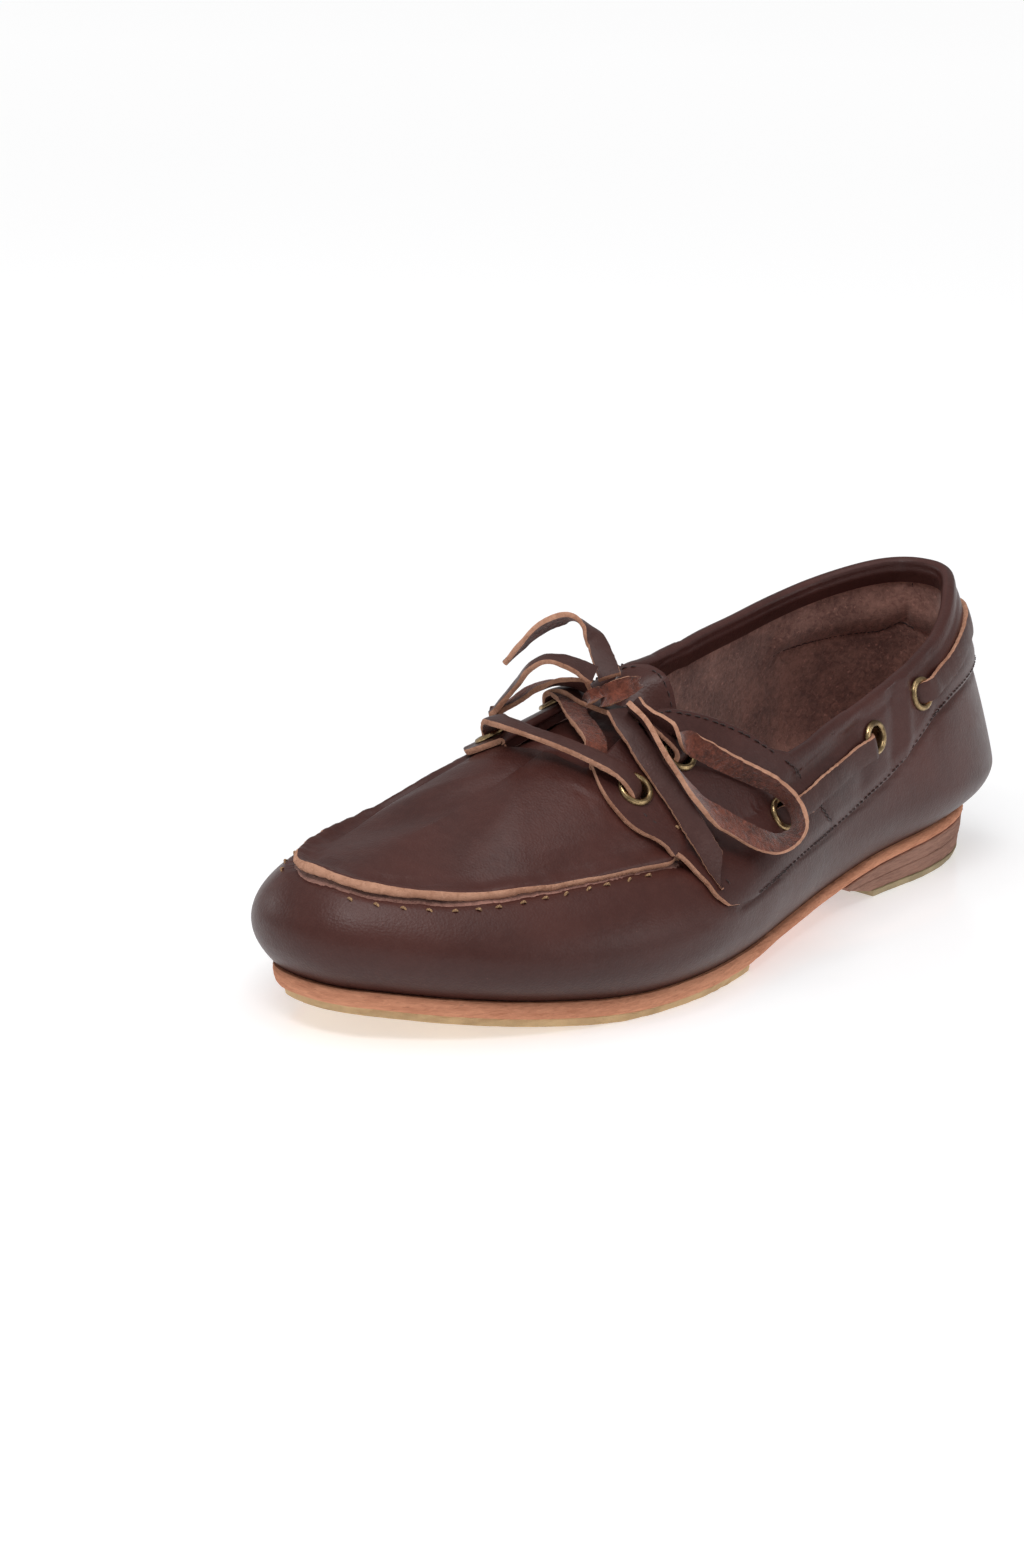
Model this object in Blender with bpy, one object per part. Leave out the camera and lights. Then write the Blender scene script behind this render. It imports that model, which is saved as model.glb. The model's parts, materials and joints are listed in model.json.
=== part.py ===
"""A left boat-shoe moccasin: leather upper with a raised moccasin seam, laced with a leather thong.

Metres, +Z up. The toe points to -Y and the outer (lateral) side of the left foot is +X.
The shoe is described by one form: a ring of hoops round a sole outline, each hoop running from the
feather edge up the wall (v from 0 to 1) and then over the instep to the ridge (v from 1 to 2).
"""

import bmesh
import bpy
import numpy as np

MM = 0.001
LENGTH = 266 * MM           # sole, heel back to toe tip
CENTRE = (1.7 * MM, 1.9 * MM)   # middle of the whole shoe's box, seen from the middle of the sole's length
GAP = 0.3 * MM              # between pieces that meet
QUARTER_GAP = 0.8 * MM      # between upper and quarter, both curved two ways
WALL = 1.8 * MM             # upper leather with its lining
OVERLAY = 1.4 * MM          # quarter leather
HEEL_END = 30 * MM          # end radii of the sole outline
TOE_END = 40 * MM
HEEL_POLE = 30 * MM         # how far the hoops at each end lean in along the ridge
TOE_POLE = 42 * MM
HEEL_LEAN = 60 * MM         # the wall leans in straighter over this length from the heel
FEATHER_IN = 2.0 * MM       # the wall starts this far inside the sole edge
BELLY_V = 0.42              # v of the widest place of the wall
LIP = dict(height=2.4 * MM, foot=0.89, crest=0.965, end=1.16)

# The last, a row for each share of the length from heel (0) to toe (1), millimetres
FORM_COLUMNS = ("share", "centre", "half", "seat", "swell", "belly",
                "in_lateral", "top_lateral", "in_medial", "top_medial", "ridge_x", "ridge_z")
FORM = np.array((
    (0.00,  0.0,  0.0, 15.6, 8.4, 29, 11.5, 88.2, 11.5, 88.2,  0, 92),
    (0.05,  0.0, 20.5, 15.5, 7.8, 29, 10.0, 86.8, 10.0, 87.3,  0, 92),
    (0.14, -0.5, 28.2, 15.0, 6.2, 29,  6.0, 79.5,  5.5, 81.7,  1, 92),
    (0.26,  0.5, 28.8, 12.8, 5.0, 28,  1.5, 69.5,  1.5, 75.2,  2, 90),
    (0.36,  3.2, 29.2, 10.0, 4.2, 26,  1.0, 59.5,  1.0, 71.6,  3, 86),
    (0.46,  5.6, 32.6,  8.0, 4.0, 24,  3.0, 48.5,  4.0, 64.4,  4, 81),
    (0.56,  5.8, 38.8,  6.8, 4.2, 22,  7.5, 41.0, 10.0, 58.6,  4, 73.5),
    (0.65,  4.6, 43.4,  6.6, 4.6, 20, 10.0, 38.0, 17.0, 56.0,  3, 66.5),
    (0.74,  1.2, 44.8,  6.7, 5.0, 19, 10.3, 38.2, 21.5, 52.0,  1, 57),
    (0.84, -3.3, 40.2,  9.0, 4.8, 20,  9.3, 37.4, 16.5, 44.3, -2, 48),
    (0.92, -6.4, 30.6, 11.8, 4.2, 23,  7.0, 37.5, 12.0, 41.5, -4, 45),
    (0.97, -8.2, 19.6, 13.6, 4.0, 25,  6.2, 39.4,  8.8, 41.2, -5, 45),
    (1.00, -8.5,  0.0, 14.4, 4.0, 26,  7.5, 41.0,  7.5, 41.0, -5, 45),
))

# Edges of the panels: distance from the heel (mm) and v on each side
TOP_LINE_COLUMNS = ("from_heel", "lateral", "medial")
TOP_LINE = np.array((
    (0, 1.00, 1.00), (20, 0.99, 1.00), (30, 0.975, 1.00), (42, 0.958, 1.00), (60, 0.948, 1.00), (72, 0.96, 1.00),
    (84, 0.98, 1.00), (96, 1.012, 1.00), (104, 1.03, 1.02), (112, 1.043, 1.06), (122, 1.07, 1.16), (128, 1.13, 1.24),
    (134, 1.26, 1.32), (141, 1.40, 1.41), (148, 1.54, 1.50), (155, 1.67, 1.58), (160, 1.69, 1.59),
    (175, 1.64, 1.52), (186, 1.59, 1.48), (193, 1.60, 1.50), (197, 1.74, 1.70), (201, 2.00, 2.00),
    (266, 2.00, 2.00),
))
LOW_LINE_COLUMNS = ("from_heel", "v")
LOW_LINE = np.array((
    (0, 0.72), (15, 0.725), (30, 0.735), (45, 0.725), (53, 0.70), (62, 0.65), (72, 0.60),
    (90, 0.56), (109, 0.545), (134, 0.56), (151, 0.545), (200, 0.55),
))
FRONT_LINE_COLUMNS = ("height", "from_heel")    # height: 0 at the quarter's lower edge, 1 at its top edge
FRONT_LINE = np.array((
    (0.00, 158), (0.03, 166), (0.10, 171), (0.25, 173.5), (0.39, 176.5), (0.49, 182), (0.575, 188.5),
    (0.69, 192), (0.845, 193), (1.00, 191),
))

EYELETS = (
    # name, from the heel (mm), v lateral, v medial
    ("front_lower", 181.9, 1.312, 1.19),
    ("front_upper", 160, 1.364, 1.31),
    ("side_front", 132.7, 0.877, 0.93),
    ("side_middle", 83.6, 0.808, 0.81),
    ("side_rear", 57.6, 0.824, 0.83),
)
EYELET = dict(flange=5.0 * MM, hole=3.2 * MM, barrel=3.7 * MM, rise=0.9 * MM)
LACE = dict(width=5.6 * MM, thick=1.4 * MM, cord=1.6 * MM)     # cord: tube radius of the free stretches
LAST_AXIS = (2 * MM, 22 * MM)                                   # x and z of a line along the foot

# Lace across the instep: x, from the heel, z (mm)
FRONT_BAR = (
    (29.85, 180.4, 56.75), (26, 183.3, 59.4), (20, 187, 62.8), (11, 190.2, 65.4), (0, 192, 67),
    (-10, 190.8, 67.2), (-16, 187.2, 65.9), (-19.7, 183.9, 63.1),
)
UPPER_BAR = (
    (28.8, 161.5, 62.35), (23.5, 163.4, 66.4), (17, 165.4, 69.7), (9, 166.8, 69.6), (0, 167, 70.6),
    (-8, 165.4, 71.8), (-17.1, 162.8, 69.4),
)
CROSSING = ((12.5, 175.2, 64.6), (6, 173.6, 66.8), (0, 171.6, 68.6), (-6, 168.4, 70.2), (-12, 164.6, 70.3))
KNOT = dict(centre=(9, 167, 74.7), half=(7.5, 5.5, 4.0))
CORDS = {
    "lace_loop_lateral": (
        (17.3, 165, 75.4), (22.3, 165, 71.2), (31, 161, 64), (36.3, 148.8, 56.4), (41.7, 137, 49.6),
        (45.7, 133.4, 43.8), (48.9, 136.9, 39.3), (49.9, 147.2, 38), (46.7, 157.8, 42.8), (40.8, 166.4, 49.8),
        (34.3, 169.4, 57.2), (28.2, 170.8, 64.2), (22, 170, 69.6), (16.5, 169.7, 72.4)),
    "lace_end_lateral": (
        (13.3, 170.8, 71.1), (17.5, 172.6, 68.7), (22, 173.4, 65.6), (28, 173.4, 59.6), (35, 172, 52),
        (41, 170.2, 44), (46.3, 169.5, 37.9), (51.7, 168.7, 32.3)),
    "lace_loop_medial": (
        (3.5, 169.5, 78.6), (-1, 173.2, 81.5), (-6, 176.5, 82.6), (-12, 177, 79.5), (-18, 176, 73.5), (-23, 177.5, 66.5),
        (-24.5, 178, 64), (-22, 174.5, 66.5), (-16, 170.6, 71.6), (-8, 168.8, 74.4), (0.6, 167.8, 74.6)),
    "lace_end_medial": (
        (4.3, 163.9, 77.4), (0, 161.3, 80.5), (-5, 158.6, 84.3), (-9.5, 158.8, 88.4), (-12.5, 162.4, 90.4),
        (-17, 167, 88), (-21, 170.5, 83), (-24.5, 172.5, 77.5)),
}


# ---------------------------------------------------------------- the form

def smooth(x, xs, ys):
    """Cubic Hermite curve through a table, with the slopes of its neighbours."""
    xs, ys = np.asarray(xs, float), np.asarray(ys, float)
    slope = np.gradient(ys, xs)
    i = np.clip(np.searchsorted(xs, x, side="right") - 1, 0, len(xs) - 2)
    h = xs[i + 1] - xs[i]
    t = (x - xs[i]) / h
    return ((1 + 2 * t) * (1 - t) ** 2 * ys[i] + t * (1 - t) ** 2 * h * slope[i]
            + t * t * (3 - 2 * t) * ys[i + 1] + t * t * (t - 1) * h * slope[i + 1])


def ease(t):
    t = np.clip(t, 0, 1)
    return t * t * (3 - 2 * t)


def turn_at(from_heel):
    """Turn, 0 at the heel and pi at the toe, of a distance from the heel back."""
    return np.arccos(np.clip(1 - 2 * np.asarray(from_heel, float) / LENGTH, -1, 1))


def share_at(turn):
    return (1 - np.cos(turn)) / 2


def column(name, share):
    return smooth(share, FORM[:, 0], FORM[:, FORM_COLUMNS.index(name)]) * MM


def half_width(share):
    """Half width over the sine of the turn is smooth right round both ends."""
    turns = np.arccos(1 - 2 * FORM[:, 0])
    widths = FORM[:, FORM_COLUMNS.index("half")] * MM
    ratio = np.empty(len(FORM))
    ratio[1:-1] = widths[1:-1] / np.sin(turns[1:-1])
    ratio[0] = np.sqrt(HEEL_END * LENGTH / 2)
    ratio[-1] = np.sqrt(TOE_END * LENGTH / 2)
    turn = np.arccos(np.clip(1 - 2 * share, -1, 1))
    return smooth(turn, turns, ratio) * np.sin(turn)


def plan(turn, side):
    share = share_at(turn)
    return np.stack([column("centre", share) + side * half_width(share), LENGTH / 2 - share * LENGTH], -1)


def outline(turn, side):
    """Sole edge in plan, and its outward direction."""
    step = 2e-4
    ahead = plan(np.minimum(turn + step, np.pi), side)
    along = ahead - plan(np.maximum(turn - step, 0), side)
    along /= np.linalg.norm(along, axis=-1, keepdims=True)
    outward = np.stack([-along[..., 1], along[..., 0]], -1) * np.asarray(side)[..., None]
    return plan(turn, side), outward


def form(turn, side, v):
    """Point of the outer surface of the upper, without its seam."""
    turn, side, v = np.broadcast_arrays(np.asarray(turn, float), np.asarray(side, float), np.asarray(v, float))
    share = share_at(turn)
    edge, outward = outline(turn, side)
    seat, swell, belly = (column(name, share) for name in ("seat", "swell", "belly"))
    lateral = side > 0
    top_in = np.where(lateral, column("in_lateral", share), column("in_medial", share))
    top_z = np.where(lateral, column("top_lateral", share), column("top_medial", share))
    low = np.clip(v / BELLY_V, 0, 1)
    high = np.clip((v - BELLY_V) / (1 - BELLY_V), 0, 1)
    below = v <= BELLY_V
    lean = 1.1 + 0.9 * ease(share * LENGTH / HEEL_LEAN)
    inset = np.where(below, FEATHER_IN - (FEATHER_IN + swell) * (1 - (1 - low) ** 2),
                     -swell + (top_in + swell) * high ** lean)
    z = np.where(below, seat + (belly - seat) * low, belly + (top_z - belly) * high)
    wall = np.concatenate([edge - outward * inset[..., None], z[..., None]], -1)

    shoulder = np.concatenate([edge - outward * top_in[..., None], top_z[..., None]], -1)
    from_heel = share * LENGTH
    ridge_s = (from_heel - TOE_POLE * ease((from_heel - 0.16) / (LENGTH - 0.16))
               + HEEL_POLE * ease((0.11 - from_heel) / 0.11))
    ridge_share = ridge_s / LENGTH
    ridge = np.stack([column("ridge_x", ridge_share), LENGTH / 2 - ridge_s, column("ridge_z", ridge_share)], -1)
    over = np.clip(v - 1, 0, 1)
    dome = 0.75 + 0.25 * ease((from_heel - 0.19) / 0.05)
    blunt = ease((from_heel - 0.225) / 0.035)
    rise = (1 - blunt) * np.sin(over * np.pi / 2) ** dome + blunt * over ** 1.4
    top = shoulder + (ridge - shoulder) * np.stack([over, over, rise], -1)
    return np.where((v <= 1)[..., None], wall, top)


def form_normal(turn, side, v):
    turn, side, v = np.broadcast_arrays(np.asarray(turn, float), np.asarray(side, float), np.asarray(v, float))
    step = 1e-3
    at = np.clip(v, 0.01, 1.97)
    ahead = form(np.minimum(turn + step, np.pi - 1e-4), side, at)
    along = (ahead - form(np.maximum(turn - step, 1e-4), side, at)) * side[..., None]
    up = form(turn, side, at + step) - form(turn, side, at - step)
    normal = np.cross(up, along)
    return normal / np.linalg.norm(normal, axis=-1, keepdims=True)


def on_form(turn, side, v, lift=0.0):
    """Point at a height above the outer surface; the two sides agree along the ridge."""
    normal = form_normal(turn, side, v)
    other = form_normal(turn, -np.asarray(side, float), v)
    ridge = (np.broadcast_to(v, normal.shape[:-1]) > 1.999)[..., None]
    normal = np.where(ridge, normal + other, normal)
    normal /= np.linalg.norm(normal, axis=-1, keepdims=True)
    return form(turn, side, v) + normal * np.asarray(lift, float)[..., None]


def top_line(from_heel, side):
    lateral, medial = (np.interp(from_heel / MM, TOP_LINE[:, 0], TOP_LINE[:, k]) for k in (1, 2))
    return np.where(np.asarray(side) > 0, lateral, medial)


def low_line(from_heel):
    return smooth(from_heel / MM, LOW_LINE[:, 0], LOW_LINE[:, 1])


def front_line(height):
    """Front edge of the quarter at a height between its lower edge (0) and its top edge (1)."""
    return smooth(np.clip(height, 0, 1), FRONT_LINE[:, 0], FRONT_LINE[:, 1]) * MM


def lip_rise(from_heel, side, v):
    """Height of the raised moccasin seam: a sharp step up from the wall and a long slope to the apron."""
    up = ease((v - LIP["foot"]) / (LIP["crest"] - LIP["foot"]))
    down = 1 - ease((v - 1.0) / (LIP["end"] - 1.0))
    low = low_line(from_heel)
    height = (v - low) / (top_line(from_heel, side) - low)
    along = ease((from_heel - front_line(height) - 5.5 * MM) / (3 * MM))
    return LIP["height"] * up * down * along


# ---------------------------------------------------------------- solids

def leather(name, colour, roughness=0.5, metallic=0.0):
    material = bpy.data.materials.new(name)
    material.use_nodes = True
    shader = material.node_tree.nodes["Principled BSDF"]
    shader.inputs["Base Color"].default_value = (*colour, 1)
    shader.inputs["Roughness"].default_value = roughness
    shader.inputs["Metallic"].default_value = metallic
    return material


def add_object(name, bm, material):
    bmesh.ops.remove_doubles(bm, verts=bm.verts, dist=1e-5)
    bmesh.ops.dissolve_degenerate(bm, edges=bm.edges, dist=1e-6)
    bmesh.ops.recalc_face_normals(bm, faces=bm.faces)
    if bm.calc_volume(signed=True) < 0:
        bmesh.ops.reverse_faces(bm, faces=bm.faces)
    mesh = bpy.data.meshes.new(name)
    bm.to_mesh(mesh)
    bm.free()
    mesh.materials.append(material)
    mesh.shade_smooth()
    mesh.set_sharp_from_angle(angle=np.radians(40))
    made = bpy.data.objects.new(name, mesh)
    bpy.context.scene.collection.objects.link(made)
    return made


def add_face(bm, corners):
    kept = [v for i, v in enumerate(corners) if v is not corners[i - 1]]
    if len(set(kept)) >= 3:
        bm.faces.new(kept)


def shell(name, outer, inner, material, round_=False, closed_top=None):
    """Wall between two grids of points (stations x rows); closed_top marks stations whose top is shut."""
    bm = bmesh.new()
    grids = [[[bm.verts.new(p) for p in row] for row in grid] for grid in (outer, inner)]
    count, rows = outer.shape[:2]
    closed_top = np.zeros(count, bool) if closed_top is None else closed_top
    for i in range(count if round_ else count - 1):
        j = (i + 1) % count
        for k in range(rows - 1):
            for grid in grids:
                add_face(bm, [grid[i][k], grid[j][k], grid[j][k + 1], grid[i][k + 1]])
        for k in (0, rows - 1):
            if k and closed_top[i] and closed_top[j]:
                continue
            add_face(bm, [grids[0][i][k], grids[0][j][k], grids[1][j][k], grids[1][i][k]])
    for i in () if round_ else (0, count - 1):
        for k in range(rows - 1):
            add_face(bm, [grids[0][i][k], grids[0][i][k + 1], grids[1][i][k + 1], grids[1][i][k]])
    return add_object(name, bm, material)


def loft(name, rings, material):
    """Solid through rings of the same number of points, capped at both ends."""
    bm = bmesh.new()
    loops = [[bm.verts.new(p) for p in ring] for ring in rings]
    for a, b in zip(loops, loops[1:]):
        for k in range(len(a)):
            m = (k + 1) % len(a)
            add_face(bm, [a[k], a[m], b[m], b[k]])
    add_face(bm, loops[0])
    add_face(bm, loops[-1])
    return add_object(name, bm, material)


def slab(name, profile, back, fronts, top, bottom, material, count, toe_in=0.0):
    """Sole layer: profile rows are (out from the sole edge, share of the thickness).

    The front end can slope, and toe_in draws the edge in further towards the toe.
    """
    along = (1 - np.cos(np.linspace(0, np.pi, count))) / 2
    rings = []
    for p in along:
        ring = []
        for side in (1, -1):
            for grow, level in profile[::side]:
                front = fronts[0] + (fronts[1] - fronts[0]) * level
                from_heel = back + (front - back) * p
                edge, outward = outline(turn_at(from_heel), side)
                x, y = edge + outward * (grow - toe_in * ease((from_heel - 0.2) / (LENGTH - 0.2)))
                here = LENGTH / 2 - y
                ring.append((x, y, bottom(here) + (top(here) - bottom(here)) * level))
        rings.append(ring)
    return loft(name, rings, material)


# ---------------------------------------------------------------- sole and heel

SOLE = dict(
    heel_thick=3.3 * MM, fore_thick=4.3 * MM, tread=2.4 * MM, tread_in=3.2 * MM, tread_gap=0.2 * MM,
    tread_from=146 * MM, tread_toe_in=4 * MM, top_piece=2.3 * MM, breast=71 * MM, lift_front=87 * MM,
    lift_split_back=8.3 * MM, lift_split_front=5.6 * MM,
)


def seat_z(from_heel):
    return column("seat", from_heel / LENGTH)


def outsole_bottom(from_heel):
    thick = SOLE["heel_thick"] + (SOLE["fore_thick"] - SOLE["heel_thick"]) * ease((from_heel - 0.126) / 0.026)
    return seat_z(from_heel) - thick


def lift_split(from_heel):
    share = from_heel / SOLE["lift_front"]
    return SOLE["lift_split_back"] + (SOLE["lift_split_front"] - SOLE["lift_split_back"]) * share


def build_sole(colours):
    edge = [(-0.8 * MM, 0), (0, 0.25), (0, 0.78), (-0.5 * MM, 1)]
    slab("outsole", edge, 0, (LENGTH, LENGTH), seat_z, outsole_bottom, colours["sole_leather"], 44)

    def tread_top(s):
        return outsole_bottom(s) - SOLE["tread_gap"]

    def tread_bottom(s):
        return np.maximum(tread_top(s) - SOLE["tread"], 0)

    tread = [(-SOLE["tread_in"] - 1 * MM, 0), (-SOLE["tread_in"], 0.4), (-SOLE["tread_in"], 1)]
    slab("forefoot_tread", tread, SOLE["tread_from"], (LENGTH,) * 2, tread_top, tread_bottom,
         colours["rubber"], 24, SOLE["tread_toe_in"])

    heel = [(-0.4 * MM, 0), (-0.4 * MM, 1)]
    slab("heel_lift_upper", heel, 0, (SOLE["lift_front"] - 3 * MM, SOLE["lift_front"]),
         lambda s: outsole_bottom(s) - GAP, lambda s: lift_split(s), colours["heel_leather"], 20)
    slab("heel_lift_lower", [(-1.2 * MM, 0), (-0.6 * MM, 1)], 0,
         (SOLE["breast"], SOLE["lift_front"] - 4 * MM),
         lambda s: lift_split(s) - GAP, lambda s: SOLE["top_piece"] + GAP + 0 * s, colours["heel_leather"], 20)
    slab("heel_top_piece", [(-2.0 * MM, 0), (-1.2 * MM, 0.3), (-1.0 * MM, 1)], 0,
         (SOLE["breast"] - 3 * MM, SOLE["breast"] - 1 * MM),
         lambda s: SOLE["top_piece"] + 0 * s, lambda s: 0 * s, colours["heel_rubber"], 20)


def build_insole(colours):
    inset = 6.5 * MM
    lift = GAP
    slab("insole", [(-inset, 0), (-inset, 1)], 0, (LENGTH,) * 2,
         lambda s: seat_z(s) + lift + 2 * MM, lambda s: seat_z(s) + lift, colours["lining"], 28)


# ---------------------------------------------------------------- upper, quarter, tongue

def stations(marks):
    """Turn stations both ways round: marks are (distance from heel in mm) of one side, heel and toe included."""
    turns = turn_at(np.asarray(marks, float) * MM)
    around = np.concatenate([turns, turns[-2:0:-1]])
    side = np.concatenate([np.ones(len(turns)), -np.ones(len(turns) - 2)])
    return around, side


def build_upper(colours):
    marks = [0, 1.5, 5, 11, 19, 29, 40, 51, 62, 73, 84, 95, 105, 112, 118, 124, 130, 136, 142, 148, 155, 161,
             167, 173, 179, 186, 193, 197, 201, 208, 216, 224, 232, 240, 247, 253, 257.5, 261, 263.5, 265.3, 266]
    turn, side = stations(marks)
    from_heel = share_at(turn) * LENGTH
    top = top_line(from_heel, side)
    rows = np.array([0, 0.2, 0.42, 0.65, 0.85, 0.93, 1.0, 1.16, 1.38, 1.66, 2.0])
    knee = 0.90 + 0.26 * ease((top - 1) / 0.4)
    low = rows[None, :] * (knee / 1.16)[:, None]
    high = knee[:, None] + (rows[None, :] - 1.16) / 0.84 * (top - knee)[:, None]
    v = np.where(rows[None, :] <= 1.16, low, high)
    turn, side = turn[:, None], side[:, None]
    outer = on_form(turn, side, v, lip_rise(share_at(turn) * LENGTH, side, v))
    inner = on_form(turn, side, v, np.full(v.shape, -WALL))
    outer[:, 0, 2] += GAP
    inner[:, 0, 2] += GAP
    return shell("upper", outer, inner, colours["upper"], round_=True, closed_top=top > 1.999)


def quarter_grid(count, lift):
    heights = np.array([0, 0.05, 0.14, 0.28, 0.4, 0.49, 0.58, 0.7, 0.85, 1.0])
    front = front_line(heights)
    p = np.linspace(0, 1, count)
    along = np.concatenate([p, p[-2::-1]])
    side = np.concatenate([np.ones(count), -np.ones(count - 1)])[:, None]
    from_heel = (1 - along)[:, None] ** 1.6 * front[None, :]
    low = low_line(from_heel)
    v = low + heights * (top_line(from_heel, side) + 0.004 - low)
    return on_form(turn_at(from_heel), side, v, np.full(v.shape, lift))


def build_quarter(colours):
    outer = quarter_grid(26, QUARTER_GAP + OVERLAY)
    inner = quarter_grid(26, QUARTER_GAP)
    return shell("quarter", outer, inner, colours["upper"])


def build_tongue(colours):
    """Flap under the throat, rounded and lifted at its free end."""
    from_heel = np.array([146.5, 147.4, 149.5, 153, 158, 164, 171, 179, 187, 195, 202, 207]) * MM
    across = np.linspace(-1, 1, 13)
    reach = 0.78 * np.sqrt(np.clip(1 - ((0.160 - from_heel) / 0.0136).clip(0) ** 2, 0.01, 1))
    side = np.where(across >= 0, 1.0, -1.0)[None, :]
    v = 2 - np.abs(across)[None, :] * reach[:, None]
    turn = turn_at(from_heel)[:, None]
    free = ease((v - top_line(from_heel[:, None], side) - 0.03) / 0.25)
    lift = -WALL - 1.6 * MM + 6 * MM * ease((0.166 - from_heel[:, None]) / 0.019) * free
    outer = on_form(turn, side, v, lift)
    inner = on_form(turn, side, v, lift - 1.6 * MM)
    return shell("tongue", outer, inner, colours["upper"])


# ---------------------------------------------------------------- eyelets and lace

def eyelet_places():
    for name, from_heel, lateral, medial in EYELETS:
        for side, v in ((1, lateral), (-1, medial)):
            turn = turn_at(from_heel * MM)
            yield f"{name}_{'lateral' if side > 0 else 'medial'}", turn, side, v


def turned(name, centre, axis, profile, material, count=10):
    """Ring turned about an axis from a closed profile of (radius, height)."""
    axis = axis / np.linalg.norm(axis)
    across = np.cross(axis, (0.3, 0.9, 0.2))
    across /= np.linalg.norm(across)
    other = np.cross(axis, across)
    bm = bmesh.new()
    loops = []
    for angle in np.arange(count) * 2 * np.pi / count:
        out = across * np.cos(angle) + other * np.sin(angle)
        loops.append([bm.verts.new(centre + out * r + axis * h) for r, h in profile])
    for i in range(count):
        a, b = loops[i], loops[(i + 1) % count]
        for k in range(len(profile)):
            m = (k + 1) % len(profile)
            bm.faces.new([a[k], b[k], b[m], a[m]])
    return add_object(name, bm, material)


def build_eyelets(colours, panels):
    """Flanged rings in round holes through quarter and upper."""
    base = QUARTER_GAP + OVERLAY + 0.35 * MM
    rise, flange, hole, barrel = (EYELET[k] for k in ("rise", "flange", "hole", "barrel"))
    profile = [(flange, base), (flange - 1.1 * MM, base + rise), (hole, base + rise * 0.4),
               (hole, -WALL - 0.4 * MM), (barrel, -WALL - 0.4 * MM), (barrel, base)]
    cutters = []
    for name, turn, side, v in eyelet_places():
        centre, axis = form(turn, side, v), form_normal(turn, side, v)
        turned(f"eyelet_{name}", centre, axis, profile, colours["brass"])
        cutters.append(drill(f"cutter_{name}", centre, axis, barrel + 2 * GAP))
    for panel in panels:
        for cutter in cutters:
            cut = panel.modifiers.new(cutter.name, "BOOLEAN")
            cut.operation = "DIFFERENCE"
            cut.object = cutter


def drill(name, centre, axis, radius):
    rings = []
    axis = axis / np.linalg.norm(axis)
    across = np.cross(axis, (0.3, 0.9, 0.2))
    across /= np.linalg.norm(across)
    other = np.cross(axis, across)
    for height in (-6 * MM, 8 * MM):
        angles = np.arange(8) * np.pi / 4
        rings.append([centre + axis * height + (across * np.cos(t) + other * np.sin(t)) * radius for t in angles])
    made = loft(name, rings, bpy.data.materials[0])
    made.hide_render = True
    made.display_type = "WIRE"
    return made


def curve_through(points, count):
    """Catmull-Rom curve through points, at even steps of its length."""
    points = np.asarray(points, float)
    ends = np.concatenate([[2 * points[0] - points[1]], points, [2 * points[-1] - points[-2]]])
    t = np.linspace(0, len(points) - 1, 400)
    i = np.minimum(t.astype(int), len(points) - 2)
    u = (t - i)[:, None]
    a, b, c, d = (ends[i + k] for k in range(4))
    fine = 0.5 * (2 * b + (c - a) * u + (2 * a - 5 * b + 4 * c - d) * u ** 2 + (3 * b - a - 3 * c + d) * u ** 3)
    length = np.concatenate([[0], np.cumsum(np.linalg.norm(np.diff(fine[:, :3], axis=0), axis=1))])
    even = np.linspace(0, length[-1], count)
    return np.stack([np.interp(even, length, fine[:, k]) for k in range(points.shape[1])], -1)


def ribbon(name, path, faces, material, width=LACE["width"], thick=LACE["thick"]):
    """Flat thong along a path; faces are the directions its broad side looks."""
    along = np.gradient(path, axis=0)
    along /= np.linalg.norm(along, axis=1, keepdims=True)
    faces = faces - along * (faces * along).sum(1, keepdims=True)
    faces /= np.linalg.norm(faces, axis=1, keepdims=True)
    across = np.cross(along, faces)
    w, h = width / 2, thick / 2
    corners = [(-w, 0), (-w + h, -h), (w - h, -h), (w, 0), (w - h, h), (-w + h, h)]
    rings = [[p + s * a + f * b for a, b in corners] for p, s, f in zip(path, across, faces)]
    return loft(name, rings, material)


def surface_ribbon(name, places, count, material):
    """Thong lying over the form: places are (side, mm from heel, v, mm of lift)."""
    path, faces = [], []
    for side, from_heel, v, lift in places:
        turn = turn_at(from_heel * MM)
        path.append(on_form(turn, side, v, lift * MM))
        faces.append(form_normal(turn, side, v))
    both = curve_through(np.concatenate([path, faces], 1), count)
    return ribbon(name, both[:, :3], both[:, 3:], material)


def free_ribbon(name, places, count, material):
    """Thong through places in space, its broad side away from the last's axis."""
    path = curve_through(in_space(places), count)
    faces = path - np.stack([np.full(count, LAST_AXIS[0]), path[:, 1], np.full(count, LAST_AXIS[1])], -1)
    return ribbon(name, path, faces, material)


def in_space(places):
    """World points of places given as x, distance from the heel and z in millimetres."""
    x, from_heel, z = np.asarray(places, float).T * MM
    return np.stack([x, LENGTH / 2 - from_heel, z], -1)


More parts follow.
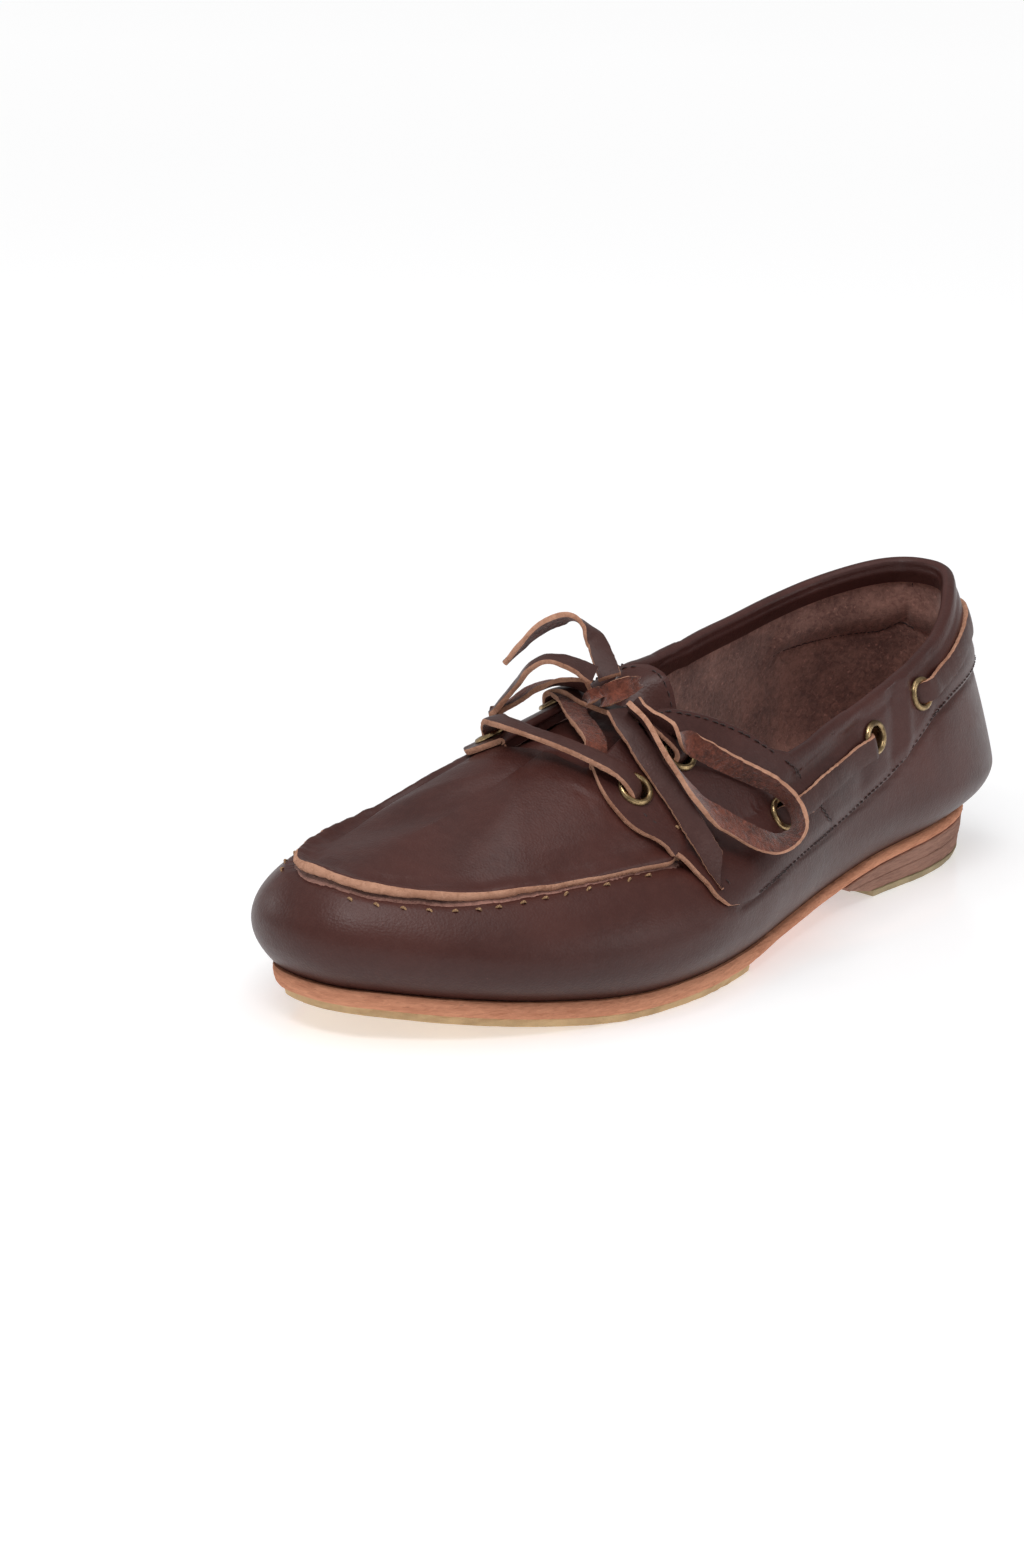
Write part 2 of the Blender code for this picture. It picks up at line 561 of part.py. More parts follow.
def build_side_lace(material):
    over, low = 4.4, 3.1            # lift of the thong over an eyelet, and lying on the quarter
    sag = 0.025                     # v that the thong hangs below the middle of its eyelets
    at = {row[0]: row[1:] for row in EYELETS}
    front, back = at["side_front"][0], at["side_middle"][0]
    for name, side, k in (("lateral", 1, 1), ("medial", -1, 2)):
        marks = ((front, over), (front - 5.5, over), (front - 12, low), ((front + back) / 2, low),
                 (back + 12, low), (back + 5.5, over), (back, over))
        ends_v = (at["side_middle"][k], at["side_front"][k])
        places = [(side, s, np.interp(s, (back, front), ends_v) - sag, lift) for s, lift in marks]
        surface_ribbon(f"side_lace_{name}", places, 13, material)
    half = [(57.6, 0.824, over), (52, 0.827, over), (46, 0.832, low), (36, 0.84, low), (26, 0.85, low),
            (17, 0.855, low), (10, 0.857, low), (5, 0.858, low), (1.5, 0.858, low)]
    around = [(1, *place) for place in half] + [(1, 0, 0.858, low)] + [(-1, *place) for place in half[::-1]]
    surface_ribbon("heel_lace", around, 27, material)


def build_instep_lace(material):
    free_ribbon("lace_front_bar", FRONT_BAR, 13, material)
    crossings = free_ribbon("lace_crossings", UPPER_BAR, 12, material)
    strand = free_ribbon("lace_strand", CROSSING, 7, material)
    strand.hide_render = True
    strand.display_type = "WIRE"
    joined = crossings.modifiers.new("join", "BOOLEAN")
    joined.operation = "UNION"
    joined.object = strand


def build_bow(material):
    """Knot, two loops and two ends."""
    bm = bmesh.new()
    bmesh.ops.create_icosphere(bm, subdivisions=2, radius=1)
    bmesh.ops.scale(bm, vec=np.array(KNOT["half"]) * MM, verts=bm.verts)
    bmesh.ops.translate(bm, vec=in_space([KNOT["centre"]])[0], verts=bm.verts)
    add_object("lace_knot", bm, material)
    for name, places in CORDS.items():
        path = in_space(places)
        length = np.linalg.norm(np.diff(path, axis=0), axis=1).sum()
        path = curve_through(path, int(np.ceil(length / (5 * LACE["cord"]))))
        curve = bpy.data.curves.new(name, "CURVE")
        curve.dimensions = "3D"
        curve.bevel_depth = LACE["cord"]
        curve.bevel_resolution = 2
        curve.use_fill_caps = True
        line = curve.splines.new("POLY")
        line.points.add(len(path) - 1)
        line.points.foreach_set("co", np.column_stack([path, np.ones(len(path))]).ravel())
        curve.materials.append(material)
        made = bpy.data.objects.new(name, curve)
        bpy.context.scene.collection.objects.link(made)


def main():
    for old in list(bpy.data.objects):
        bpy.data.objects.remove(old)
    colours = {
        "upper": leather("upper_leather", (0.085, 0.035, 0.028), 0.42),
        "lining": leather("lining_suede", (0.115, 0.06, 0.048), 0.9),
        "sole_leather": leather("sole_leather", (0.45, 0.2, 0.11), 0.7),
        "heel_leather": leather("heel_leather", (0.26, 0.13, 0.09), 0.65),
        "rubber": leather("tread_rubber", (0.55, 0.4, 0.2), 0.6),
        "heel_rubber": leather("heel_rubber", (0.27, 0.22, 0.12), 0.6),
        "brass": leather("antique_brass", (0.3, 0.21, 0.08), 0.35, 1.0),
        "lace": leather("lace_leather", (0.09, 0.04, 0.03), 0.6),
    }
    build_sole(colours)
    build_insole(colours)
    upper = build_upper(colours)
    quarter = build_quarter(colours)
    build_tongue(colours)
    build_eyelets(colours, (upper, quarter))
    build_side_lace(colours["lace"])
    build_instep_lace(colours["lace"])
    build_bow(colours["lace"])

    shoe = bpy.data.objects.new("shoe", None)
    shoe.location = (-CENTRE[0], -CENTRE[1], 0)
    bpy.context.scene.collection.objects.link(shoe)
    for made in bpy.data.objects:
        if made is not shoe:
            made.parent = shoe


main()
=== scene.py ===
import json

import bmesh
import bpy
import numpy as np
from mathutils import Matrix, Vector


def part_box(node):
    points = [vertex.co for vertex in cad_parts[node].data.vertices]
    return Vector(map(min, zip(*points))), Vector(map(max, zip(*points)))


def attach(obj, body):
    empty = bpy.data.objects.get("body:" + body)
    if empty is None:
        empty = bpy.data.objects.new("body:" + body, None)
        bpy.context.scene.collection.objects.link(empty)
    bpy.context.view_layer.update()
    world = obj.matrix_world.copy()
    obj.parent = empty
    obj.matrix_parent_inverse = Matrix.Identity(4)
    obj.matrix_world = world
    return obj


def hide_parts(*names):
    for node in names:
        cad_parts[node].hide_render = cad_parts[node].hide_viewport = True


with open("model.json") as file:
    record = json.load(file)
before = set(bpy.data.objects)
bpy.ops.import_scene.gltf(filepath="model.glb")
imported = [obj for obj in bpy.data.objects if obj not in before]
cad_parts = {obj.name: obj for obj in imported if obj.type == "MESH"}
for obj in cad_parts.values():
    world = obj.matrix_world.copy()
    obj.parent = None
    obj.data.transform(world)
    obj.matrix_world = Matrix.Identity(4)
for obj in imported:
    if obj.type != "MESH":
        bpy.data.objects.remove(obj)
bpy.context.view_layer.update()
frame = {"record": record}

# Left boat shoe. Metres, toe towards -Y, the outer side of the foot towards +X.
# Places on the shoe are given as distance from the heel back (mm), side (1 outer, -1 inner) and v:
# v runs from 0 at the feather edge up the wall to 1, and on over the instep to 2 at the ridge.

mm = 0.001
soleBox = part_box("outsole")
soleLength = soleBox[1][1] - soleBox[0][1]
heelBack = soleBox[1][1]
heelMiddle = frame["record"]["mounts"][0]["pos_m"][0]

last = dict(
    share=(0, 0.05, 0.14, 0.26, 0.36, 0.46, 0.56, 0.65, 0.74, 0.84, 0.92, 0.97, 1),
    centre=(0, 0, -0.5, 0.5, 3.2, 5.6, 5.8, 4.6, 1.2, -3.3, -6.4, -8.2, -8.5),
    half=(0, 20.5, 28.2, 28.8, 29.2, 32.6, 38.8, 43.4, 44.8, 40.2, 30.6, 19.6, 0),
    seat=(15.6, 15.5, 15, 12.8, 10, 8, 6.8, 6.6, 6.7, 9, 11.8, 13.6, 14.4),
    swell=(8.4, 7.8, 6.2, 5, 4.2, 4, 4.2, 4.6, 5, 4.8, 4.2, 4, 4),
    belly=(29, 29, 29, 28, 26, 24, 22, 20, 19, 20, 23, 25, 26),
    inLateral=(11.5, 10, 6, 1.5, 1, 3, 7.5, 10, 10.3, 9.3, 7, 6.2, 7.5),
    topLateral=(88.2, 86.8, 79.5, 69.5, 59.5, 48.5, 41, 38, 38.2, 37.4, 37.5, 39.4, 41),
    inMedial=(11.5, 10, 5.5, 1.5, 1, 4, 10, 17, 21.5, 16.5, 12, 8.8, 7.5),
    topMedial=(88.2, 87.3, 81.7, 75.2, 71.6, 64.4, 58.6, 56, 52, 44.3, 41.5, 41.2, 41),
    ridgeX=(0, 0, 1, 2, 3, 4, 4, 3, 1, -2, -4, -5, -5),
    ridgeZ=(92, 92, 92, 90, 86, 81, 73.5, 66.5, 57, 48, 45, 45, 45),
    heelEnd=30, toeEnd=40,          # end radii of the sole outline, mm
    heelPole=30, toePole=42,        # how far the hoops at the ends lean in along the ridge, mm
    heelPoleTo=110, toePoleFrom=160,
    featherIn=2.0, bellyV=0.42,
)
edges = dict(
    topFromHeel=(0, 20, 30, 42, 60, 72, 84, 96, 104, 112, 122, 128,
                 134, 141, 148, 155, 160, 175, 186, 193, 197, 201, 266),
    topLateral=(1, 0.99, 0.975, 0.958, 0.948, 0.96, 0.98, 1.012, 1.03, 1.043, 1.07, 1.13,
                1.26, 1.40, 1.54, 1.67, 1.69, 1.64, 1.59, 1.60, 1.74, 2, 2),
    topMedial=(1, 1, 1, 1, 1, 1, 1, 1, 1.02, 1.06, 1.16, 1.24,
               1.32, 1.41, 1.50, 1.58, 1.59, 1.52, 1.48, 1.50, 1.70, 2, 2),
    lowFromHeel=(0, 15, 30, 45, 53, 62, 72, 90, 109, 134, 151, 200),
    lowV=(0.72, 0.725, 0.735, 0.725, 0.70, 0.65, 0.60, 0.56, 0.545, 0.56, 0.545, 0.55),
    frontHeight=(0, 0.03, 0.10, 0.25, 0.39, 0.49, 0.575, 0.69, 0.845, 1),
    frontFromHeel=(158, 166, 171, 173.5, 176.5, 182, 188.5, 192, 193, 191),
)
lookOut = np.array((0.642, -0.716, 0.273))      # from the shoe to the front of its outer side


def ease(t):
    # 3t^2 - 2t^3, with t held between 0 and 1
    t = np.clip(t, 0, 1)
    return t * t * (3 - 2 * t)


def curveAt(x, xs, ys):
    # cubic through a table, each slope taken from the points beside it
    xs, ys = np.asarray(xs, float), np.asarray(ys, float)
    slope = np.gradient(ys, xs)
    i = np.clip(np.searchsorted(xs, x, side="right") - 1, 0, len(xs) - 2)
    h = xs[i + 1] - xs[i]
    t = (x - xs[i]) / h
    return ((1 + 2 * t) * (1 - t) ** 2 * ys[i] + t * (1 - t) ** 2 * h * slope[i]
            + t * t * (3 - 2 * t) * ys[i + 1] + t * t * (t - 1) * h * slope[i + 1])


def unit(vectors):
    # each vector divided by its own length
    return vectors / np.maximum(np.linalg.norm(vectors, axis=-1, keepdims=True), 1e-12)


def ripple(t, seed, step, size):
    # smooth random line: random heights every step, joined by eased slopes
    heights = np.random.default_rng(seed).uniform(-1, 1, 4096)
    t = np.asarray(t, float) / step
    i = np.floor(t).astype(int)
    blend = ease(t - i)
    return size * (heights[i % 4096] * (1 - blend) + heights[(i + 1) % 4096] * blend)


def lumps(points, seed, wave, size):
    # sum of eight sine waves of nearly one length, running in random directions
    rng = np.random.default_rng(seed)
    ways = unit(rng.normal(size=(8, 3))) * (2 * np.pi / wave) * rng.uniform(0.7, 1.4, (8, 1))
    return size * np.sin(points @ ways.T + rng.uniform(0, 6.28, 8)).sum(-1) / 3


def turnAt(fromHeel):
    # 0 at the heel, pi at the toe; even turns crowd the hoops at both ends
    return np.arccos(np.clip(1 - 2 * np.asarray(fromHeel, float) * mm / soleLength, -1, 1))


def fromHeelAt(turn):
    # the turn back to mm from the heel
    return (1 - np.cos(turn)) / 2 * soleLength / mm


def lastAt(name, share):
    # a row of the last's table, in metres, at a share of the sole's length
    return curveAt(share, last["share"], last[name]) * mm


def soleEdge(turn, side, step=2e-4):
    # half width over the sine of the turn is a smooth curve right round both ends
    turns = np.arccos(1 - 2 * np.array(last["share"]))
    ratio = np.array(last["half"]) * mm / np.maximum(np.sin(turns), 1e-9)
    ratio[0] = np.sqrt(last["heelEnd"] * mm * soleLength / 2)
    ratio[-1] = np.sqrt(last["toeEnd"] * mm * soleLength / 2)

    def plan(t):
        share = (1 - np.cos(t)) / 2
        x = heelMiddle + lastAt("centre", share) + side * curveAt(t, turns, ratio) * np.sin(t)
        return np.stack([x, heelBack - share * soleLength], -1)

    along = unit(plan(np.minimum(turn + step, np.pi)) - plan(np.maximum(turn - step, 0)))
    outward = np.stack([-along[..., 1], along[..., 0]], -1) * np.asarray(side)[..., None]
    return plan(turn), outward


def floatArrays(*values):
    return np.broadcast_arrays(*(np.asarray(value, float) for value in values))


def lastPoint(turn, side, v):
    # wall: a swelling curve from the feather to the belly, then leaning in to the top line at v = 1
    # instep: from there to the ridge, rising as a sine and blunter towards the toe
    turn, side, v = floatArrays(turn, side, v)
    share = (1 - np.cos(turn)) / 2
    fromHeel = share * soleLength
    edge, outward = soleEdge(turn, side)
    seat, swell, belly = (lastAt(name, share) for name in ("seat", "swell", "belly"))
    topIn = np.where(side > 0, lastAt("inLateral", share), lastAt("inMedial", share))
    topZ = np.where(side > 0, lastAt("topLateral", share), lastAt("topMedial", share))
    low = np.clip(v / last["bellyV"], 0, 1)
    high = np.clip((v - last["bellyV"]) / (1 - last["bellyV"]), 0, 1)
    below = v <= last["bellyV"]
    lean = 1.1 + 0.9 * ease(fromHeel / 0.06)
    featherIn = last["featherIn"] * mm
    inset = np.where(below, featherIn - (featherIn + swell) * (1 - (1 - low) ** 2),
                     -swell + (topIn + swell) * high ** lean)
    z = np.where(below, seat + (belly - seat) * low, belly + (topZ - belly) * high)
    wall = np.concatenate([edge - outward * inset[..., None], z[..., None]], -1)
    shoulder = np.concatenate([edge - outward * topIn[..., None], topZ[..., None]], -1)
    heelTo, toeFrom = last["heelPoleTo"] * mm, last["toePoleFrom"] * mm
    ridgeFrom = (fromHeel - last["toePole"] * mm * ease((fromHeel - toeFrom) / (soleLength - toeFrom))
                 + last["heelPole"] * mm * ease((heelTo - fromHeel) / heelTo))
    ridgeShare = ridgeFrom / soleLength
    ridge = np.stack([heelMiddle + lastAt("ridgeX", ridgeShare), heelBack - ridgeFrom,
                      lastAt("ridgeZ", ridgeShare)], -1)
    over = np.clip(v - 1, 0, 1)
    dome = 0.75 + 0.25 * ease((fromHeel - 0.19) / 0.05)
    blunt = ease((fromHeel - 0.225) / 0.035)
    rise = (1 - blunt) * np.sin(over * np.pi / 2) ** dome + blunt * over ** 1.4
    instep = shoulder + (ridge - shoulder) * np.stack([over, over, rise], -1)
    return np.where((v <= 1)[..., None], wall, instep)


def lastNormal(turn, side, v, step=1e-3):
    # cross product of the steps up the hoop and along the shoe
    turn, side, v = floatArrays(turn, side, v)
    at = np.clip(v, 0.01, 1.97)
    along = (lastPoint(np.minimum(turn + step, np.pi - 1e-4), side, at)
             - lastPoint(np.maximum(turn - step, 1e-4), side, at)) * side[..., None]
    up = lastPoint(turn, side, at + step) - lastPoint(turn, side, at - step)
    return unit(np.cross(up, along))


def onLast(turn, side, v, lift):
    # a point lifted (mm) off the last; along the ridge the two sides share one direction
    normal = lastNormal(turn, side, v)
    other = lastNormal(turn, -np.asarray(side, float), v)
    ridge = (np.broadcast_to(v, normal.shape[:-1]) > 1.999)[..., None]
    normal = unit(np.where(ridge, normal + other, normal))
    return lastPoint(turn, side, v) + normal * np.asarray(lift, float)[..., None] * mm


def topLine(fromHeel, side):
    # v of the collar and throat edge
    lateral = np.interp(fromHeel, edges["topFromHeel"], edges["topLateral"])
    medial = np.interp(fromHeel, edges["topFromHeel"], edges["topMedial"])
    return np.where(np.asarray(side) > 0, lateral, medial)


def lowLine(fromHeel):
    # v of the quarter's lower edge
    return curveAt(np.asarray(fromHeel, float), edges["lowFromHeel"], edges["lowV"])


def frontLine(height):
    # mm from the heel of the quarter's front edge, at a share of its height
    return curveAt(np.clip(height, 0, 1), edges["frontHeight"], edges["frontFromHeel"])


def millimetresPerV(turn, side, v, step=0.02):
    # length of the last's surface for one unit of v
    rise = lastPoint(turn, side, v + step) - lastPoint(turn, side, v - step)
    return np.linalg.norm(rise, axis=-1) / (2 * step) / mm


def lengthAlong(points):
    # distance gone at each point of a path, in metres
    return np.concatenate([[0], np.cumsum(np.linalg.norm(np.diff(points, axis=0), axis=1))])


def bell(offset, width):
    return np.exp(-(offset / width) ** 2)


# mesh helpers

def addObject(name, data):
    made = bpy.data.objects.new(name, data)
    bpy.context.scene.collection.objects.link(made)
    return made


def newMesh(name, points, faces, materials, finish=None, weld=3e-6, sharp=50):
    # points and faces become one welded mesh; finish is the material index of each face, 0 if left out
    bm = bmesh.new()
    scratch = bpy.data.meshes.new(name)
    scratch.from_pydata(points.reshape(-1, 3).tolist(), [], faces.tolist())
    if finish is not None:
        scratch.polygons.foreach_set("material_index", np.asarray(finish, np.int32))
    bm.from_mesh(scratch)
    bmesh.ops.remove_doubles(bm, verts=bm.verts, dist=weld)
    bmesh.ops.dissolve_degenerate(bm, edges=bm.edges, dist=weld / 3)
    bmesh.ops.delete(bm, geom=[vert for vert in bm.verts if not vert.link_faces], context="VERTS")
    bmesh.ops.recalc_face_normals(bm, faces=bm.faces)
    if bm.calc_volume(signed=True) < 0:
        bmesh.ops.reverse_faces(bm, faces=bm.faces)
    bm.to_mesh(scratch)
    bm.free()
    scratch.shade_smooth()
    scratch.set_sharp_from_angle(angle=np.radians(sharp))
    for material in materials:
        scratch.materials.append(material)
    made = addObject(name, scratch)
    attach(made, "root")
    return made


def quads(grid, around=False):
    # corner numbers of the squares between the rows and columns of a grid of point numbers
    after = np.roll(grid, -1, 0) if around else grid[1:]
    here = grid if around else grid[:-1]
    return np.stack([here[:, :-1], after[:, :-1], after[:, 1:], here[:, 1:]], -1)


def tubeFaces(points, around=False):
    # squares of a grid of points whose columns close on themselves
    grid = np.arange(points[..., 0].size).reshape(points.shape[:2])
    return quads(np.concatenate([grid, grid[:, :1]], 1), around).reshape(-1, 4)


def thickSheet(name, top, under, materials, around=False, openTop=None,
               bulge=0.25, edgeRows=3, topFinish=None, seed=1, sharp=50):
    # leather of two skins joined round its edge: the skins' borders blended across and bulged out by a sine
    # materials: grain side, flesh side, cut edge; openTop marks the hoops whose upper edge is open,
    # topFinish gives other material numbers to faces of the first skin
    count, rows = top.shape[:2]
    points = [top.reshape(-1, 3), under.reshape(-1, 3)]
    upper = np.arange(count * rows).reshape(count, rows)
    lower = upper + count * rows
    faces = [quads(upper, around), quads(lower, around)]
    finish = [np.zeros(faces[0].shape[:2], int), np.ones(faces[1].shape[:2], int)]
    if topFinish is not None:
        finish[0] = topFinish[:finish[0].shape[0]]
    if around:
        borders = [(np.arange(count), np.full(count, k), np.full(count, m))
                   for k, m in ((0, 1), (rows - 1, rows - 2))]
    else:
        i, k = np.arange(count), np.arange(rows)
        rowOf = np.concatenate([i, np.full(rows - 2, count - 1), i[::-1], np.zeros(rows - 2, int)])
        columnOf = np.concatenate([np.zeros(count, int), k[1:-1], np.full(count, rows - 1), k[-2:0:-1]])
        borders = [(rowOf, columnOf, None)]
    total = 2 * count * rows
    for n, (i, k, inner) in enumerate(borders):
        a, b = top[i, k], under[i, k]
        if inner is None:
            inward = top[np.clip(i, 1, count - 2), np.clip(k, 1, rows - 2)]
        else:
            inward = top[i, inner]
        outward = unit(a - inward)
        share = (np.arange(edgeRows) + 1) / (edgeRows + 1)
        between = a[:, None] * (1 - share[:, None]) + b[:, None] * share[:, None]
        wave = 1 + ripple(np.arange(len(a))[:, None] + 37 * share * edgeRows, seed + n, 1.7, 0.5)
        between = between + outward[:, None] * (bulge * mm * np.sin(np.pi * share) * wave)[..., None]
        points.append(between.reshape(-1, 3))
        added = np.arange(between[..., 0].size).reshape(-1, edgeRows)
        strip = np.column_stack([upper[i, k], total + added, lower[i, k]])
        total += added.size
        made = quads(strip, True)
        if around and n == 1 and openTop is not None:
            made = made[openTop | np.roll(openTop, -1)]
        faces.append(made)
        finish.append(np.full(made.shape[:2], 2))
    faces = np.concatenate([f.reshape(-1, 4) for f in faces])
    finish = np.concatenate([f.ravel() for f in finish])
    return newMesh(name, np.concatenate(points), faces, materials, finish, sharp=sharp)


def bored(piece, cutter):
    # the piece with round holes cut through it, as a plain mesh again
    cut = piece.modifiers.new("holes", "BOOLEAN")
    cut.operation = "DIFFERENCE"
    cut.solver = "EXACT"
    cut.object = cutter
    bpy.context.view_layer.update()
    done = bpy.data.meshes.new_from_object(piece.evaluated_get(bpy.context.evaluated_depsgraph_get()))
    piece.modifiers.clear()
    old = piece.data
    piece.data = done
    bpy.data.meshes.remove(old)


def smoothPath(places, perPoint=12):
    # Catmull-Rom curve through the places, then even steps along its length
    places = np.asarray(places, float)
    ends = np.concatenate([[2 * places[0] - places[1]], places, [2 * places[-1] - places[-2]]])
    t = np.linspace(0, len(places) - 1, 60 * len(places))
    i = np.minimum(t.astype(int), len(places) - 2)
    u = (t - i)[:, None]
    a, b, c, d = (ends[i + k] for k in range(4))
    fine = 0.5 * (2 * b + (c - a) * u + (2 * a - 5 * b + 4 * c - d) * u ** 2
                  + (3 * b - a - 3 * c + d) * u ** 3)
    length = lengthAlong(fine[:, :3])
    even = np.linspace(0, length[-1], perPoint * len(places))
    return np.stack([np.interp(even, length, fine[:, k]) for k in range(places.shape[1])], -1)


def inSpace(places):
    # x from the heel's middle, distance from the heel back and height, in mm
    x, fromHeel, z = np.asarray(places, float).T[:3] * mm
    return np.stack([heelMiddle + x, heelBack - fromHeel, z], -1)


# finishes

def newFinish(name, stretch=(1, 1, 1)):
    # a material with its tree and shader, and object coordinates in metres to lay patterns by
    material = bpy.data.materials.new(name)
    material.use_nodes = True
    tree = material.node_tree
    place = addNode(tree, "ShaderNodeTexCoord").outputs["Object"]
    mapping = addNode(tree, "ShaderNodeMapping", Vector=place, Scale=stretch)
    return material, tree, tree.nodes["Principled BSDF"], mapping.outputs[0]


def setInputs(tree, node, **values):
    # numbers, colours or other nodes' outputs into a node's inputs; _ stands for a space in their names
    for key, value in values.items():
        socket = node.inputs[key.replace("_", " ")]
        if isinstance(value, bpy.types.NodeSocket):
            tree.links.new(value, socket)
        else:
            socket.default_value = value


def addNode(tree, kind, **values):
    node = tree.nodes.new(kind)
    setInputs(tree, node, **values)
    return node


def noise(tree, place, scale, detail=4.0, roughness=0.55, distortion=0.0):
    # cloudy grey values from 0 to 1; the scale is in waves to the metre
    node = addNode(tree, "ShaderNodeTexNoise", Vector=place, Scale=scale, Detail=detail,
                   Roughness=roughness, Distortion=distortion)
    return node.outputs["Fac"]


def cells(tree, place, scale):
    # distance to the middle of the nearest random cell
    return addNode(tree, "ShaderNodeTexVoronoi", Vector=place, Scale=scale).outputs["Distance"]


def ramp(tree, source, stops):
    # colour ramp: stops are (position, colour or grey value)
    node = addNode(tree, "ShaderNodeValToRGB", Fac=source)
    while len(node.color_ramp.elements) < len(stops):
        node.color_ramp.elements.new(0.5)
    for element, (position, colour) in zip(node.color_ramp.elements, stops):
        element.position = position
        element.color = (*((colour,) * 3 if np.isscalar(colour) else colour), 1)
    return node.outputs["Color"]


def tinted(tree, colour, source, stops, tint, times=1.0):
    # the colour covered by a tint (made lighter or darker by times) as far as a ramp of the source says
    node = tree.nodes.new("ShaderNodeMix")
    node.data_type = "RGBA"
    tree.links.new(ramp(tree, source, stops), node.inputs[0])
    tree.links.new(colour, node.inputs[6])
    node.inputs[7].default_value = (*(times * c for c in tint), 1)
    return node.outputs[2]


def sums(tree, *parts):
    # heights added with their weights: (source, weight)
    total = None
    for source, weight in parts:
        node = addNode(tree, "ShaderNodeMath", Value=source)
        node.operation = "MULTIPLY_ADD"
        node.inputs[1].default_value = weight
        node.inputs[2].default_value = 0.0
        if total is not None:
            tree.links.new(total, node.inputs[2])
        total = node.outputs[0]
    return total


def bumped(tree, shader, height, distance, strength=1.0):
    # relief in the shading alone; the distance is its depth in metres
    bump = addNode(tree, "ShaderNodeBump", Height=height, Distance=distance, Strength=strength)
    setInputs(tree, shader, Normal=bump.outputs["Normal"])


def grainLeather(name, dark, warm, pale, roughness=0.37):
    # waxed brown full grain: cloudy dark and warm patches, fine pores, small scratches, a few pale specks,
    # and painted shade, darker down by the sole where the low wall gets less light
    material, tree, shader, place = newFinish(name)
    cloud = noise(tree, place, 22, 3, 0.6, 0.4)
    fine = noise(tree, place, 420, 4, 0.65)
    height = addNode(tree, "ShaderNodeSeparateXYZ", Vector=place).outputs["Z"]
    colour = ramp(tree, cloud, [(0.32, dark), (0.68, warm)])
    colour = tinted(tree, colour, fine, [(0.42, 0.0), (0.75, 0.30)], pale)
    colour = tinted(tree, colour, cells(tree, place, 150.0), [(0.018, 0.35), (0.035, 0.0)], pale, 2.2)
    # painted shade: the colour darkens towards the sole, standing in for the weaker light on the low wall
    colour = tinted(tree, colour, height, [(0.009, 0.6), (0.038, 0.0)], dark, 0.5)
    streaks = addNode(tree, "ShaderNodeMapping", Vector=place, Scale=(0.35, 1.6, 1.0))
    scratch = noise(tree, streaks.outputs[0], 240, 5, 0.7, 1.2)
    worn = sums(tree, (cloud, 0.5), (scratch, 0.5))
    rough = ramp(tree, worn, [(0.3, roughness - 0.06), (0.7, roughness + 0.10)])
    relief = sums(tree, (cells(tree, place, 1500.0), 0.35), (fine, 0.5), (scratch, 0.35))
    bumped(tree, shader, relief, 0.00016, 0.8)
    setInputs(tree, shader, Base_Color=colour, Roughness=rough, Specular_IOR_Level=0.33)
    return material


def suede(name, dark, light, nap=900.0, depth=0.0003):
    # flesh side: matted short fibres, light and dark where the nap lies over
    material, tree, shader, place = newFinish(name)
    patch = noise(tree, place, 55, 3, 0.6)
    fibre = noise(tree, place, nap, 5, 0.75, 0.6)
    fleck = noise(tree, place, nap * 1.7, 2, 0.5)
    colour = ramp(tree, sums(tree, (patch, 0.45), (fibre, 0.55)), [(0.40, dark), (0.60, light)])
    colour = tinted(tree, colour, fleck, [(0.62, 0.0), (0.78, 0.55)], light, 1.9)
    bumped(tree, shader, sums(tree, (fibre, 1.0), (patch, 0.4)), depth)
    setInputs(tree, shader, Base_Color=colour, Roughness=0.95, Specular_IOR_Level=0.15, Sheen_Weight=0.35,
              Sheen_Roughness=0.5)
    return material


def rawEdge(name, pale, warm, stretch=(1, 1, 1)):
    # cut leather: pale fibres, warmer between them, a few dark flecks
    material, tree, shader, place = newFinish(name, stretch)
    fibre = noise(tree, place, 620, 5, 0.7, 0.8)
    patch = noise(tree, place, 90, 3, 0.6)
    fleck = noise(tree, place, 1100, 2, 0.5)
    colour = ramp(tree, sums(tree, (fibre, 0.6), (patch, 0.4)), [(0.34, warm), (0.58, pale)])
    colour = tinted(tree, colour, fleck, [(0.66, 0.0), (0.80, 0.6)], warm, 0.35)
    bumped(tree, shader, fibre, 0.0003)
    setInputs(tree, shader, Base_Color=colour, Roughness=0.9, Specular_IOR_Level=0.2)
    return material


def rubber(name, light, dark):
    # crepe rubber: fine grit, slightly dirtier in patches
    material, tree, shader, place = newFinish(name)
    patch = noise(tree, place, 70, 4, 0.6)
    grit = noise(tree, place, 1300, 3, 0.6)
    colour = ramp(tree, patch, [(0.35, dark), (0.62, light)])
    bumped(tree, shader, sums(tree, (grit, 1.0), (patch, 0.5)), 0.0002)
    setInputs(tree, shader, Base_Color=colour, Roughness=0.62, Specular_IOR_Level=0.3)
    return material


def brass(name, patinaBrown, bare):
    # antique brass: bare metal with brown patina gathered in patches
    material, tree, shader, place = newFinish(name)
    patina = noise(tree, place, 260, 5, 0.65)
    colour = ramp(tree, patina, [(0.36, patinaBrown), (0.60, bare)])
    rough = ramp(tree, patina, [(0.36, 0.48), (0.60, 0.24)])
    bumped(tree, shader, noise(tree, place, 900, 3), 0.00006)
    setInputs(tree, shader, Base_Color=colour, Roughness=rough, Metallic=1.0)
    return material


def thread(name, light, dark):
    # twisted plies as fine light and dark bands
    material, tree, shader, place = newFinish(name)
    ply = addNode(tree, "ShaderNodeTexWave", Vector=place, Scale=900.0, Distortion=2.0).outputs["Fac"]
    setInputs(tree, shader, Base_Color=ramp(tree, ply, [(0.2, dark), (0.8, light)]), Roughness=0.7)
    return material


